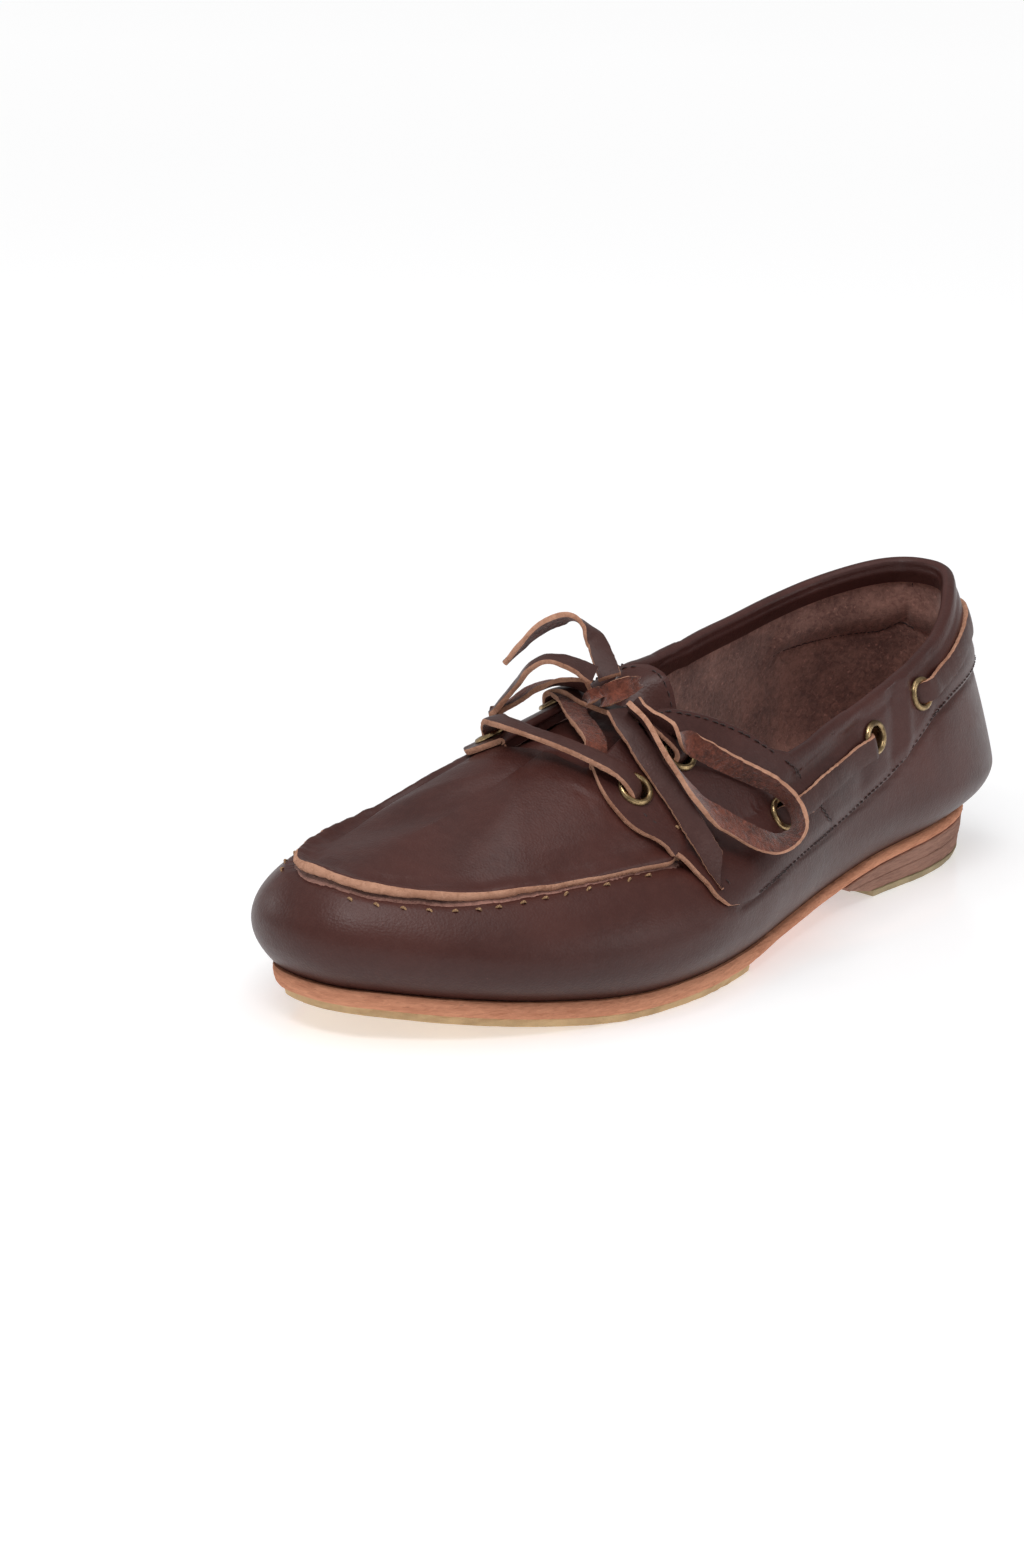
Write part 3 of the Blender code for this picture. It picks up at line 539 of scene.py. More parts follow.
finishes = dict(
    grain=grainLeather("upperGrain", (0.046, 0.0136, 0.0108), (0.080, 0.0228, 0.0172),
                       (0.108, 0.040, 0.032)),
    # the quarter's grain is the upper's leather painted darker, as painted shade for the less-lit quarter
    quarterGrain=grainLeather("quarterGrain", (0.040, 0.0120, 0.0098), (0.066, 0.0196, 0.0155),
                              (0.094, 0.036, 0.030)),
    laceGrain=grainLeather("laceGrain", (0.044, 0.0165, 0.014), (0.070, 0.026, 0.0215),
                           (0.11, 0.052, 0.045), 0.42),
    laceSuede=suede("laceSuede", (0.052, 0.0145, 0.009), (0.215, 0.060, 0.035), 620.0, 0.0005),
    rawEdge=rawEdge("rawEdge", (0.56, 0.30, 0.20), (0.33, 0.15, 0.092)),
    lining=suede("liningSuede", (0.175, 0.080, 0.064), (0.43, 0.220, 0.175), 560.0, 0.00025),
    soleEdge=rawEdge("soleEdge", (0.70, 0.325, 0.195), (0.46, 0.185, 0.105), (0.4, 0.4, 2.4)),
    heelEdge=rawEdge("heelEdge", (0.39, 0.215, 0.16), (0.22, 0.115, 0.085), (0.3, 0.3, 3.2)),
    treadRubber=rubber("creamCrepe", (0.70, 0.49, 0.26), (0.53, 0.355, 0.185)),
    heelRubber=rubber("oliveRubber", (0.46, 0.36, 0.205), (0.31, 0.24, 0.135)),
    brass=brass("antiqueBrass", (0.13, 0.085, 0.045), (0.45, 0.32, 0.165)),
    crest=grainLeather("collarCrest", (0.052, 0.016, 0.0135), (0.084, 0.026, 0.021),
                       (0.11, 0.045, 0.037), 0.5),
    darkThread=thread("darkThread", (0.056, 0.024, 0.022), (0.020, 0.010, 0.0095)),
    tanThread=thread("tanThread", (0.46, 0.27, 0.13), (0.18, 0.09, 0.045)),
)
fleshAndEdge = [finishes["laceSuede"], finishes["rawEdge"]]
leatherOfUpper = [finishes["grain"], *fleshAndEdge]
leatherOfQuarter = [finishes["quarterGrain"], *fleshAndEdge]
leatherOfLace = [finishes["laceGrain"], *fleshAndEdge]
print("finishes made:", len(finishes))


# camera

cameraSetup = dict(azimuth=41.88, elevation=15.83, roll=1.66, distance=1.05, lens=67.2171,
                   aim=(-0.1939, 0.1485, -0.0249))


def addCamera():
    # placed on a ball round the point it aims at, then turned by the roll about its own axis
    azimuth, elevation, roll = (np.radians(cameraSetup[k]) for k in ("azimuth", "elevation", "roll"))
    level = np.cos(elevation)
    back = np.array((np.sin(azimuth) * level, -np.cos(azimuth) * level, np.sin(elevation)))
    right = np.array((np.cos(azimuth), np.sin(azimuth), 0))
    up = np.cross(back, right)
    tilted = np.cos(roll) * right + np.sin(roll) * up
    upright = np.cos(roll) * up - np.sin(roll) * right
    lens = bpy.data.cameras.new("camera")
    lens.sensor_fit = "AUTO"
    lens.sensor_width = 36
    lens.lens = cameraSetup["lens"]
    lens.clip_start = 0.05
    lens.clip_end = 80
    camera = addObject("camera", lens)
    place = Matrix(np.column_stack([tilted, upright, back]).tolist()).to_4x4()
    place.translation = Vector(cameraSetup["aim"] + back * cameraSetup["distance"])
    camera.matrix_world = place
    bpy.context.scene.camera = camera


addCamera()


# lace

lace = dict(width=5.8, thick=1.5, columns=11, wander=0.14, wanderStep=5, fuzzStep=0.9)


def ribbon(name, path, faces, width=None, seed=5, fuzz=0.12, crown=0.15, cutBack=0.0):
    # a flat thong: across each step of the path lies a slightly crowned strip of grain over one of suede,
    # the broad side looks along faces; the width wanders a little as a hand-cut one does
    # cutBack pulls one edge back at the far end, for a thong cut off slantwise; its sign says which edge
    along = unit(np.gradient(path, axis=0))
    faces = unit(faces - along * (faces * along).sum(1, keepdims=True))
    across = np.cross(along, faces)
    length = lengthAlong(path) / mm
    u = np.linspace(-1, 1, lace["columns"])
    wide = np.broadcast_to((lace["width"] if width is None else width), length.shape) / 2
    left, right = (wide + ripple(length, first, lace["wanderStep"], lace["wander"])
                   + ripple(length, first + 1, lace["fuzzStep"], fuzz) for first in (seed, seed + 2))
    out = np.where(u < 0, left[:, None], right[:, None]) * u
    if cutBack:
        kept = ease((length[-1] - length) / abs(cutBack))[:, None]
        reach = 0.4 - left[:, None] + (left + right)[:, None] * kept + 0.05 * u * np.sign(cutBack)
        out = np.minimum(out, reach) if cutBack > 0 else np.maximum(out, -reach)
    half = lace["thick"] / 2 + ripple(length, seed + 4, 4, 0.1)[:, None]
    arch = crown * (1 - u ** 2)
    sideways = path[:, None] + across[:, None] * (out * mm)[..., None]
    top, under = (sideways + faces[:, None] * (level * mm)[..., None]
                  for level in (half * (1 - 0.12 * u ** 6) + arch, arch - half))
    return thickSheet(name, top, under, leatherOfLace, bulge=0.16, edgeRows=3, seed=seed)


def facesFromAngles(path, angles):
    # the broad side starts looking outwards and is turned about the path by the given angles (degrees)
    along = unit(np.gradient(path, axis=0))
    first = unit(lookOut - along * (along @ lookOut)[:, None])
    second = np.cross(along, first)
    t = np.linspace(0, len(angles) - 1, len(path))
    turned = np.radians(smoothAngles(t, angles))
    return first * np.cos(turned)[:, None] + second * np.sin(turned)[:, None]


def smoothAngles(t, angles):
    # eased steps from each angle to the next
    marks = np.asarray(angles, float)
    i = np.minimum(t.astype(int), len(marks) - 2)
    return marks[i] + ease(t - i) * (marks[i + 1] - marks[i])


# routes as in the solid model (x, from the heel, z in mm), with the way the grain side looks (degrees)
cords = dict(
    lace_loop_lateral=dict(
        route=((17.3, 165, 75.4), (22.3, 165, 71.2), (31, 161, 64), (36.3, 148.8, 56.4), (41.7, 137, 49.6),
               (45.7, 133.4, 43.8), (48.9, 136.9, 39.3), (49.9, 147.2, 38), (46.7, 157.8, 42.8),
               (40.8, 166.4, 49.8), (34.3, 169.4, 57.2), (28.2, 170.8, 64.2), (22, 170, 69.6),
               (16.5, 169.7, 72.4)),
        angles=(25, 45, 190, 212, 222, 235, 240, 222, 205, 215, 252, 266, 275, 280),
        length=0.137, farEnd="object", pull=(-1.5, -2.2, -2.1)),
    lace_end_lateral=dict(
        route=((13.3, 170.8, 71.1), (17.5, 172.6, 68.7), (22, 173.4, 65.6), (28, 173.4, 59.6),
               (35, 172, 52), (41, 170.2, 44), (46.3, 169.5, 37.9), (51.7, 168.7, 32.3)),
        angles=(-30, -30, -25, -20, -15, -12, -8, -5), length=0.054, farEnd="bare", cutBack=-10),
    lace_loop_medial=dict(
        route=((3.5, 169.5, 78.6), (-1, 173.2, 81.5), (-6, 176.5, 82.6), (-12, 177, 79.5), (-18, 176, 73.5),
               (-23, 177.5, 66.5), (-24.5, 178, 64), (-22, 174.5, 66.5), (-16, 170.6, 71.6),
               (-8, 168.8, 74.4), (0.6, 167.8, 74.6)),
        angles=(40, 60, 75, 80, 80, 85, 100, 110, 100, 80, 60), length=0.070, farEnd="object"),
    lace_end_medial=dict(
        route=((4.3, 163.9, 77.4), (0, 161.3, 80.5), (-5, 158.6, 84.3), (-9.5, 158.8, 88.4),
               (-12.5, 162.4, 90.4), (-17, 167, 88), (-21, 170.5, 83), (-24.5, 172.5, 77.5)),
        angles=(0, 10, 30, 80, 110, 110, 100, 100), length=0.042, farEnd="bare", cutBack=7),
)
knot = dict(centre=(9, 167, 74.7), tilt=-16, core=(4.4, 3.0, 2.2), coreLumps=0.06, pinch=0.35,
            pinchSteps=12.0)
knotTurns = dict(                   # each an oval of thong round the core: middle, wide and deep in mm
    knotWrap=dict(middle=1.0, wide=5.5, deep=4.3, start=-40, end=222, strap=5.4, lean=0.25, seed=71),
    knotTurn=dict(middle=-5.4, wide=2.6, deep=3.6, start=-15, end=200, strap=3.4, lean=0.9, seed=77),
)


def addCords():
    knotPieces = addKnot()
    for name, cord in cords.items():
        path = smoothPath(inSpace(cord["route"]))
        # close to the knot the thong is pulled aside a little and pinched
        near = bell(np.arange(len(path)), knot["pinchSteps"])
        laid = path + near[:, None] * np.array(cord.get("pull", (0, 0, 0))) * mm
        pinched = lace["width"] * (1 - knot["pinch"] * near * ("pull" in cord))
        piece = ribbon(name.replace("lace_", "bow_"), laid, facesFromAngles(laid, cord["angles"]),
                       width=pinched, cutBack=cord.get("cutBack", 0), seed=len(name) * 3)
        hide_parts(name)


def addKnot():
    # the wrap: an oval ring of thong, suede outside, round a core of the crossed strands;
    # it swells and pinches along its way, and a narrower second turn lies beside it
    centre = inSpace([knot["centre"]])[0]
    right = unit(np.cross((0, 0, 1), lookOut))
    up = np.cross(lookOut, right)
    tilt = np.radians(knot["tilt"])
    across = np.cos(tilt) * right - np.sin(tilt) * up
    high = np.cross(lookOut, across)
    pieces = []
    for name, oval in knotTurns.items():
        turn = np.linspace(np.radians(oval["start"]), np.radians(oval["end"]), 60)
        bulge = 1 + 0.07 * np.sin(3 * turn + 1) + 0.04 * np.sin(7 * turn)
        path = (centre + across * (mm * (oval["middle"] + oval["wide"] * np.cos(turn) * bulge))[:, None]
                + lookOut * (oval["deep"] * mm * np.sin(turn) * bulge)[:, None]
                + high * (0.9 * mm * np.cos(turn - oval["lean"]))[:, None])
        share = 0.42 + 0.58 * np.sin(np.clip(turn, 0, np.pi)) ** 0.7 - 0.10 * np.cos(turn)
        width = oval["strap"] * share + ripple(turn, oval["seed"], 0.8, 0.16)
        inward = unit(centre + across * mm * oval["middle"] - path)
        inward = inward + high * (0.25 * np.sin(2 * turn))[:, None]
        pieces.append(ribbon(name, path, inward, width=width, seed=oval["seed"], fuzz=0.09, crown=0.95))
    core = knotCore(centre, across, high)
    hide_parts("lace_knot")
    return pieces + [core]


def knotCore(centre, across, high):
    # a lumpy ball of three unequal radii, open by a hair at its poles
    around, down = np.linspace(0, 2 * np.pi, 41)[:-1], np.linspace(0.02, np.pi - 0.02, 21)
    theta, phi = np.meshgrid(around, down, indexing="ij")
    way = np.stack([np.sin(phi) * np.cos(theta), np.sin(phi) * np.sin(theta), np.cos(phi)], -1)
    size = np.array(knot["core"]) * mm
    swollen = (1 + lumps(way, 3, 1.4, knot["coreLumps"]))[..., None]
    core = centre + (way[..., :1] * across * size[0] + way[..., 1:2] * lookOut * size[1]
                     + way[..., 2:] * high * size[2]) * swollen
    rings = quads(np.arange(core[..., 0].size).reshape(core.shape[:2]), True).reshape(-1, 4)
    return newMesh("knotCore", core, rings, [finishes["laceSuede"]], weld=8e-5)


addCords()
print("cords laid")


# upper

upper = dict(wall=1.8, hoops=440, hidden=2.6, wallRows=28, apronRows=32, skin=1.1, pressed=0.9)
lip = dict(
    start=171, full=180,            # where it rises out of the wall, mm from the heel
    below=4.4, above=7.4,           # how far its rows reach down the wall and up the apron, mm
    standOuter=4, standInner=26, standToe=8,        # lean off the apron, degrees
    size=0.78, uneven=((42, 6, 0.10), (43, 2.2, 0.08), (45, 0.8, 0.05)),
    cutEdge=(4, 8), hollow=3.4,
)
lipProfile = np.array((         # out from the seam and up off the apron, mm
    (0.8, -3.2), (-0.5, -2.5), (0.4, -1.7), (1.5, -1.25),
    (2.25, -0.9), (2.5, -0.35), (2.4, 0.45), (1.95, 1.15), (1.3, 1.65),
    (0.5, 1.85), (-0.5, 1.7), (-1.6, 1.2), (-2.8, 0.65), (-4.2, 0.22), (-6.0, 0.03),
))
creaseLines = (
    # start and end are (from the heel mm, v); height and width in mm
    dict(side=1, start=(194, 1.14), end=(201, 1.50), height=-0.22, width=1.3, bow=2),
    dict(side=1, start=(196, 1.20), end=(205, 1.62), height=0.16, width=1.5, bow=3),
    dict(side=1, start=(199, 1.24), end=(209, 1.74), height=-0.16, width=1.5, bow=3),
    dict(side=-1, start=(198, 1.2), end=(208, 1.8), height=-0.2, width=2.4, bow=2),
    dict(side=1, start=(168, 0.42), end=(182, 0.60), height=-0.25, width=2.5),
    dict(side=1, start=(150, 0.30), end=(192, 0.36), height=-0.25, width=5.0, bow=3),
    dict(side=1, start=(75, 0.62), end=(71, 0.98), height=-0.75, width=3.0),
    dict(side=1, start=(67, 0.60), end=(64, 0.99), height=0.55, width=2.6),
    dict(side=1, start=(92, 0.60), end=(90, 0.96), height=-0.45, width=4.0),
    dict(side=1, start=(50, 0.62), end=(49, 0.95), height=-0.35, width=3.0),
    dict(side=1, start=(127, 0.965), end=(88, 0.885), height=-1.2, width=2.4, perV=55),
    dict(side=1, start=(126, 1.08), end=(121, 0.97), height=-0.12, width=0.9, perV=45),
    dict(side=1, start=(120, 0.92), end=(110, 0.57), height=-0.35, width=0.9, perV=45),
    dict(side=-1, start=(120, 0.92), end=(110, 0.57), height=-0.35, width=0.9, perV=45),
    dict(side=-1, start=(74, 0.62), end=(70, 0.98), height=-0.7, width=3.0),
    dict(side=-1, start=(112, 0.6), end=(106, 0.97), height=-0.5, width=4.0),
    dict(side=-1, start=(150, 0.35), end=(186, 0.42), height=-0.35, width=5.0),
    dict(side=-1, start=(122, 0.97), end=(88, 0.90), height=-0.8, width=2.6, perV=55),
)


def creases(turn, side, v):
    # soft troughs and ridges: each a bell across a bowed line, faded at both ends
    lift = np.zeros(np.broadcast(turn, side, v).shape)
    spot = np.stack(np.broadcast_arrays(fromHeelAt(turn), v), -1)
    for line in creaseLines:
        a, b = np.array(line["start"], float), np.array(line["end"], float)
        scale = np.array((1.0, line.get("perV", 60.0)))
        p = spot * scale
        way = (b - a) * scale
        t = ((p - a * scale) @ way) / (way @ way)
        bow = line.get("bow", 0.0) * 4 * np.clip(t, 0, 1) * (1 - np.clip(t, 0, 1))
        offset = ((p - a * scale) @ np.array((-way[1], way[0]))) / np.linalg.norm(way) - bow
        fade = ease(t / 0.3 + 0.35) * ease((1 - t) / 0.3 + 0.35) * ((t > -0.4) & (t < 1.4))
        across = bell(offset, line["width"])
        lift = lift + line["height"] * across * fade * (np.asarray(side) == line["side"])
    return lift


def upperHoops():
    # turn and side of the hoops right round the shoe, and the v of their top with the mm to one v there
    half = np.linspace(0, np.pi, upper["hoops"] // 2 + 1)
    turn = np.concatenate([half, half[-2:0:-1]])[:, None]
    side = np.concatenate([np.ones(len(half)), -np.ones(len(half) - 2)])[:, None]
    top = topLine(fromHeelAt(turn), side)
    return turn, side, top, topScale(turn, side, top)


def topScale(turn, side, top):
    return millimetresPerV(turn, side, np.minimum(top, 1.9) - 0.03)


def lipPoints(turn, side):
    # the lip's profile set on the seam, leaning off the apron and growing and shrinking along its way
    seam = lastPoint(turn, side, np.ones_like(turn))
    apron = unit(lastPoint(turn, side, np.full_like(turn, 1.06)) - seam)
    away = unit(np.cross(np.diff(np.concatenate([seam[-1:], seam]), axis=0)[:, 0], apron[:, 0]))
    upward = np.where((away[:, 2:] < 0), -away, away)[:, None]
    length = lengthAlong(seam[:, 0])[:, None] / mm
    toe = ease((fromHeelAt(turn) - 236) / 20)
    stand = np.where(side > 0, lip["standOuter"], lip["standInner"]) * (1 - toe) + lip["standToe"] * toe
    stand = np.radians(stand) + ripple(length, 41, 9, 0.10)
    size = lip["size"]
    for seed, step, height in lip["uneven"]:
        size = size + ripple(length, seed, step, height)
    out, up = lipProfile.T[:, None]
    wave = ripple(length, 44, 11, 0.35) * (up > -2)
    turned = np.clip((up + 1.0) / 2.0, 0, 1) * stand
    outTurned = (out * np.cos(turned) - up * np.sin(turned)) * size
    upTurned = (out * np.sin(turned) + up * np.cos(turned)) * size + wave
    return seam - apron * outTurned[..., None] * mm + upward * upTurned[..., None] * mm


def buildUpper():
    # hoops right round the shoe: wall rows, the rows of the lip's profile at the seam, apron rows
    turn, side, top, scale = upperHoops()
    fromHeel = fromHeelAt(turn)
    top = np.where(top < 1.999, top - upper["hidden"] / scale * ease((192 - fromHeel) / 5), top)
    count = len(lipProfile)
    wallRows = np.linspace(0, 1, upper["wallRows"])[None]
    lipRows = np.linspace(0, 1, count + 2)[None, 1:-1]
    apronRows = np.linspace(0, 1, upper["apronRows"])[None]

    def rows(foot, middle, apronFrom):
        return np.concatenate([wallRows * foot, middle, apronFrom + (top - apronFrom) * apronRows], 1)

    # even rows where there is no lip, and rows gathered at the seam where there is one
    knee = 0.88 + 0.30 * ease((top - 1) / 0.4)
    lipFoot = 0.86 * knee / 1.18
    flat = rows(lipFoot, lipFoot + (knee - lipFoot) * lipRows, knee)
    present = ease((fromHeel - lip["start"]) / (lip["full"] - lip["start"]))
    stretch = millimetresPerV(turn, side, np.full_like(turn, 0.93))
    apronStretch = millimetresPerV(turn, side, np.full_like(turn, 1.12))
    foot = np.where(present > 0, 1 - lip["below"] / stretch, lipFoot)
    shaped = rows(foot, np.repeat(np.ones_like(turn), count, 1), 1 + lip["above"] / apronStretch)
    v = flat + (shaped - flat) * present

    # the leather is pressed in along the quarter's lower edge
    below = (v - lowLine(fromHeel)) * stretch
    lift = creases(turn, side, v) - upper["pressed"] * bell(below + 0.7, 0.9) * (fromHeel < 164)
    outer = onLast(turn, side, v, lift)
    outer += lastNormal(turn, side, v) * (lumps(outer, 11, 0.030, 0.10) * ease(v / 0.2) * mm)[..., None]
    inner = onLast(turn, side, v, np.full(v.shape, -upper["skin"]))
    lipPart = slice(upper["wallRows"], upper["wallRows"] + count)
    present = present[..., None]
    outer[:, lipPart] = outer[:, lipPart] * (1 - present) + lipPoints(turn, side) * present
    hollow = onLast(turn, side, 1 + np.linspace(-3, 3, count)[None] / stretch,
                    np.full((len(turn), count), -lip["hollow"]))
    inner[:, lipPart] = inner[:, lipPart] * (1 - present) + hollow * present
    finish = np.zeros((len(turn), v.shape[1] - 1), int)
    firstCut, lastCut = (upper["wallRows"] + k for k in lip["cutEdge"])
    finish[:, firstCut:lastCut] = 2 * (present[..., 0] > 0.1)
    piece = thickSheet("upperLeather", outer, inner, leatherOfUpper, around=True,
                       openTop=(top < 1.999)[:, 0], topFinish=finish, seed=3, sharp=60)
    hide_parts("upper")
    return piece


lining = dict(rows=90, down=2.2, skin=1.75, behind=1.15, folds=(23, 0.035, 0.22))
liningSeam = dict(fromHeel=(0, 2.5, 9.5, 26, 40, 46, 52), v=(0.76, 0.80, 0.765, 0.765, 0.765, 0.755, 0.62),
                  perV=70, pinch=0.6, swelling=1.6, ends=52, endsInner=20)


def buildLining():
    # the same hoops a wall's thickness inside, rippled where the suede has slackened, ending behind the
    # facing; it is pinched along the seam of the heel and swells above it
    turn, side, top, scale = upperHoops()
    fromHeel = fromHeelAt(turn)
    top = np.where(top < 1.999, top - lining["down"] / scale, top)
    v = np.linspace(0, 1, lining["rows"])[None] * top
    folds = lumps(lastPoint(turn, side, v), *lining["folds"])
    folds = folds * ease(v / 0.15) * ease((top - v) * scale / 12)
    seam = np.interp(fromHeel, liningSeam["fromHeel"], liningSeam["v"])
    below = (seam - v) * liningSeam["perV"]
    pinch = liningSeam["pinch"] * bell(below, 0.8) - liningSeam["swelling"] * bell(below + 4.2, 3.4)
    fade = np.where(side < 0, 1, ease((liningSeam["endsInner"] - fromHeel) / 10))
    pinch = pinch * ease((liningSeam["ends"] - fromHeel) / 10) * fade
    back = 0.5 * bell(fromHeel * side + 2.2, 0.7) * ease((v - 0.78) / 0.05)
    outer = onLast(turn, side, v, np.full(v.shape, -lining["behind"]))
    inner = onLast(turn, side, v, np.minimum(-lining["skin"] - np.abs(folds) + pinch + back, -1.25))
    return thickSheet("liningSuede", inner, outer, [finishes["lining"]] * 3, around=True,
                      openTop=(top < 1.999)[:, 0], bulge=0.1, edgeRows=1, seed=9)


upperPiece = buildUpper()
liningPiece = buildLining()
print("upper and lining:", len(upperPiece.data.polygons), len(liningPiece.data.polygons))


# quarter, with its top edge rolled over into the facing

quarter = dict(
    gap=0.35, thick=1.65, skived=0.9, skivedOver=5, columns=230,
    rollCollar=1.9, rollThroat=1.15, rollRows=10, rollInside=0.4,       # radii of the rolled top edge
    facing=5.2, facingThroat=2.5, facingRows=9, facingIn=2.55,          # how far it goes down inside
    crest=(4, 7), throatFrom=116, throatOver=14,
)


def buildQuarter():
    # rows climb the outside, turn over the top line on a half circle and go down inside as the facing
    half = np.linspace(0, 1, quarter["columns"])
    along = np.concatenate([half, half[-2::-1]])[:, None]
    side = np.concatenate([np.ones(len(half)), -np.ones(len(half) - 1)])[:, None]
    climb = np.concatenate([np.linspace(0, 0.9, 36), np.linspace(0.9, 1, 9)[1:]])
    rollTurns = np.linspace(0, np.pi, quarter["rollRows"] + 2)[1:-1]
    facingRows = np.linspace(0, 1, quarter["facingRows"])
    height = np.concatenate([climb, np.ones(len(rollTurns) + len(facingRows))])[None]
    rollAt = np.concatenate([np.zeros(len(climb)), rollTurns, np.full(len(facingRows), np.pi)])[None]
    down = np.concatenate([np.zeros(len(climb) + len(rollTurns)), facingRows])[None]
    outside = rollAt == 0
    fromHeel = (1 - along) ** 1.6 * frontLine(height)
    turn = turnAt(fromHeel)
    low = lowLine(fromHeel)
    top = topLine(fromHeel, side)
    scale = topScale(turn, side, top)
    throat = ease((fromHeel - quarter["throatFrom"]) / quarter["throatOver"])
    roll = quarter["rollCollar"] + (quarter["rollThroat"] - quarter["rollCollar"]) * throat
    facing = quarter["facing"] + (quarter["facingThroat"] - quarter["facing"]) * throat
    crest = top - roll / scale
    v = low + height * (crest - low)
    above = (v - low) * millimetresPerV(turn, side, np.maximum(low, 0.5) + 0.05)
    skin = quarter["skived"] + (quarter["thick"] - quarter["skived"]) * ease(above / quarter["skivedOver"])
    middle = quarter["gap"] + quarter["thick"] - roll
    inside = quarter["facingIn"] + middle - roll
    sink = np.clip(down * 4, 0, 1)
    lift = np.where(outside, quarter["gap"] + skin, middle + roll * np.cos(rollAt) - inside * sink)
    v = v + (np.sin(rollAt) * roll - down * facing) / scale

    # a thin lower edge, a swelling where the moccasin seam runs under the front, a crease under the roll
    foot = -0.35 * bell(above, 0.5)
    overSeam = 1.5 * bell(v - 0.985, 0.085) * ease((fromHeel - 168) / 10)
    belowRoll = -0.22 * bell((crest - v) * scale - 3.2, 1.3) * (1 - throat)
    folded = creases(turn, side, v)
    lift = lift + (folded + foot + overSeam + belowRoll) * outside
    outer = onLast(turn, side, v, lift)
    outer += lastNormal(turn, side, v) * (lumps(outer, 12, 0.026, 0.09) * mm)[..., None]
    innerRoll = quarter["rollInside"]
    innerLift = np.where(outside, quarter["gap"] + (folded + overSeam),
                         middle + innerRoll * np.cos(rollAt) - 0.2 - (inside - 0.35) * sink)
    inner = onLast(turn, side, v - np.sin(rollAt) * (roll - innerRoll) / scale, innerLift)
    finish = np.zeros((len(along), height.shape[1] - 1), int)
    finish[:, len(climb) + quarter["crest"][0]:len(climb) + quarter["crest"][1]] = 3
    piece = thickSheet("quarterLeather", outer, inner, leatherOfQuarter + [finishes["crest"]],
                       bulge=0.22, edgeRows=4, topFinish=finish, seed=15)
    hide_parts("quarter")
    return piece


quarterPiece = buildQuarter()
print("quarter:", len(quarterPiece.data.polygons))


# tongue

tongue = dict(start=146.5, end=207, reach=0.78, thick=1.6, outerRound=7.2, innerRound=13.6,
              rows=80, columns=71, stand=7.6, standFrom=167, standOver=19)


def tongueLift(fromHeel, side, v):
    # flat under the throat, standing up towards its free end, with a faint wave across
    free = ease((v - topLine(fromHeel, side) + 0.02) / 0.34)
    up = ease((tongue["standFrom"] - fromHeel) / tongue["standOver"])
    lift = -upper["wall"] - tongue["thick"] + tongue["stand"] * up * free
    return lift + 0.3 * np.sin(fromHeel / 3.1 + 3 * side * (2 - v)) * ease((fromHeel - 150) / 10)


def tongueRound(side):
    # mm over which the free end is rounded
    return np.where(np.asarray(side) > 0, tongue["outerRound"], tongue["innerRound"])


def tongueReach(fromHeel, side):
    # how far the flap comes down on each side; its free end is squarer on the outer side
    into = 1 - (fromHeel - tongue["start"]) / tongueRound(side)
    return tongue["reach"] * np.clip(1 - into.clip(0) ** 1.5, 0.003, 1) ** 0.8


def buildTongue():
    # half-oval flap: rows along the foot, columns from the outer side over the ridge to the inner side
    down = np.linspace(0, 1, tongue["rows"])[:, None] ** 1.5
    fromHeel = tongue["start"] + (tongue["end"] - tongue["start"]) * down
    across = np.linspace(-1, 1, tongue["columns"])[None]
    side = np.where(across >= 0, 1.0, -1.0)
    v = 2 - np.abs(across) * tongueReach(fromHeel, side)
    turn = turnAt(fromHeel)
    lift = tongueLift(fromHeel, side, v)
    top, under = (onLast(turn, side, v, level) for level in (lift, lift - tongue["thick"]))
    piece = thickSheet("tongueLeather", top, under,
                       [finishes["grain"], finishes["laceSuede"], finishes["laceSuede"]],
                       bulge=0.5, seed=19)
    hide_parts("tongue")
    return piece


tonguePiece = buildTongue()
print("tongue:", len(tonguePiece.data.polygons))


# eyelets

eyelet = dict(flange=5.0, hole=3.25, barrel=3.6, bore=4.1, base=2.15, rise=1.0, around=48,
              punchMiddle=2.6, punchDeep=8)
# from the heel (mm), v on the outer side, v on the inner side
eyeletPlaces = dict(
    front_lower=(181.9, 1.312, 1.19), front_upper=(160, 1.364, 1.31), side_front=(132.7, 0.877, 0.93),
    side_middle=(83.6, 0.808, 0.81), side_rear=(57.6, 0.824, 0.83),
)


def eyeletFrames():
    # name, middle and axis of every eyelet; the axis stands square on the last
    for name, (fromHeel, lateral, medial) in eyeletPlaces.items():
        for word, side, v in (("lateral", 1.0, lateral), ("medial", -1.0, medial)):
            turn = turnAt(fromHeel)
            yield f"{name}_{word}", lastPoint(turn, side, v), lastNormal(turn, side, v)


def turnedRing(centre, axis, profile, count):
    # profile of (radius, height) in mm turned about the axis through the centre
    across = unit(np.cross(axis, (0.3, 0.9, 0.2)))
    other = np.cross(axis, across)
    angle = np.arange(count) * 2 * np.pi / count
    spoke = across * np.cos(angle)[:, None] + other * np.sin(angle)[:, None]
    profile = np.asarray(profile) * mm
    return centre + spoke[:, None] * profile[None, :, :1] + axis * profile[None, :, 1:]


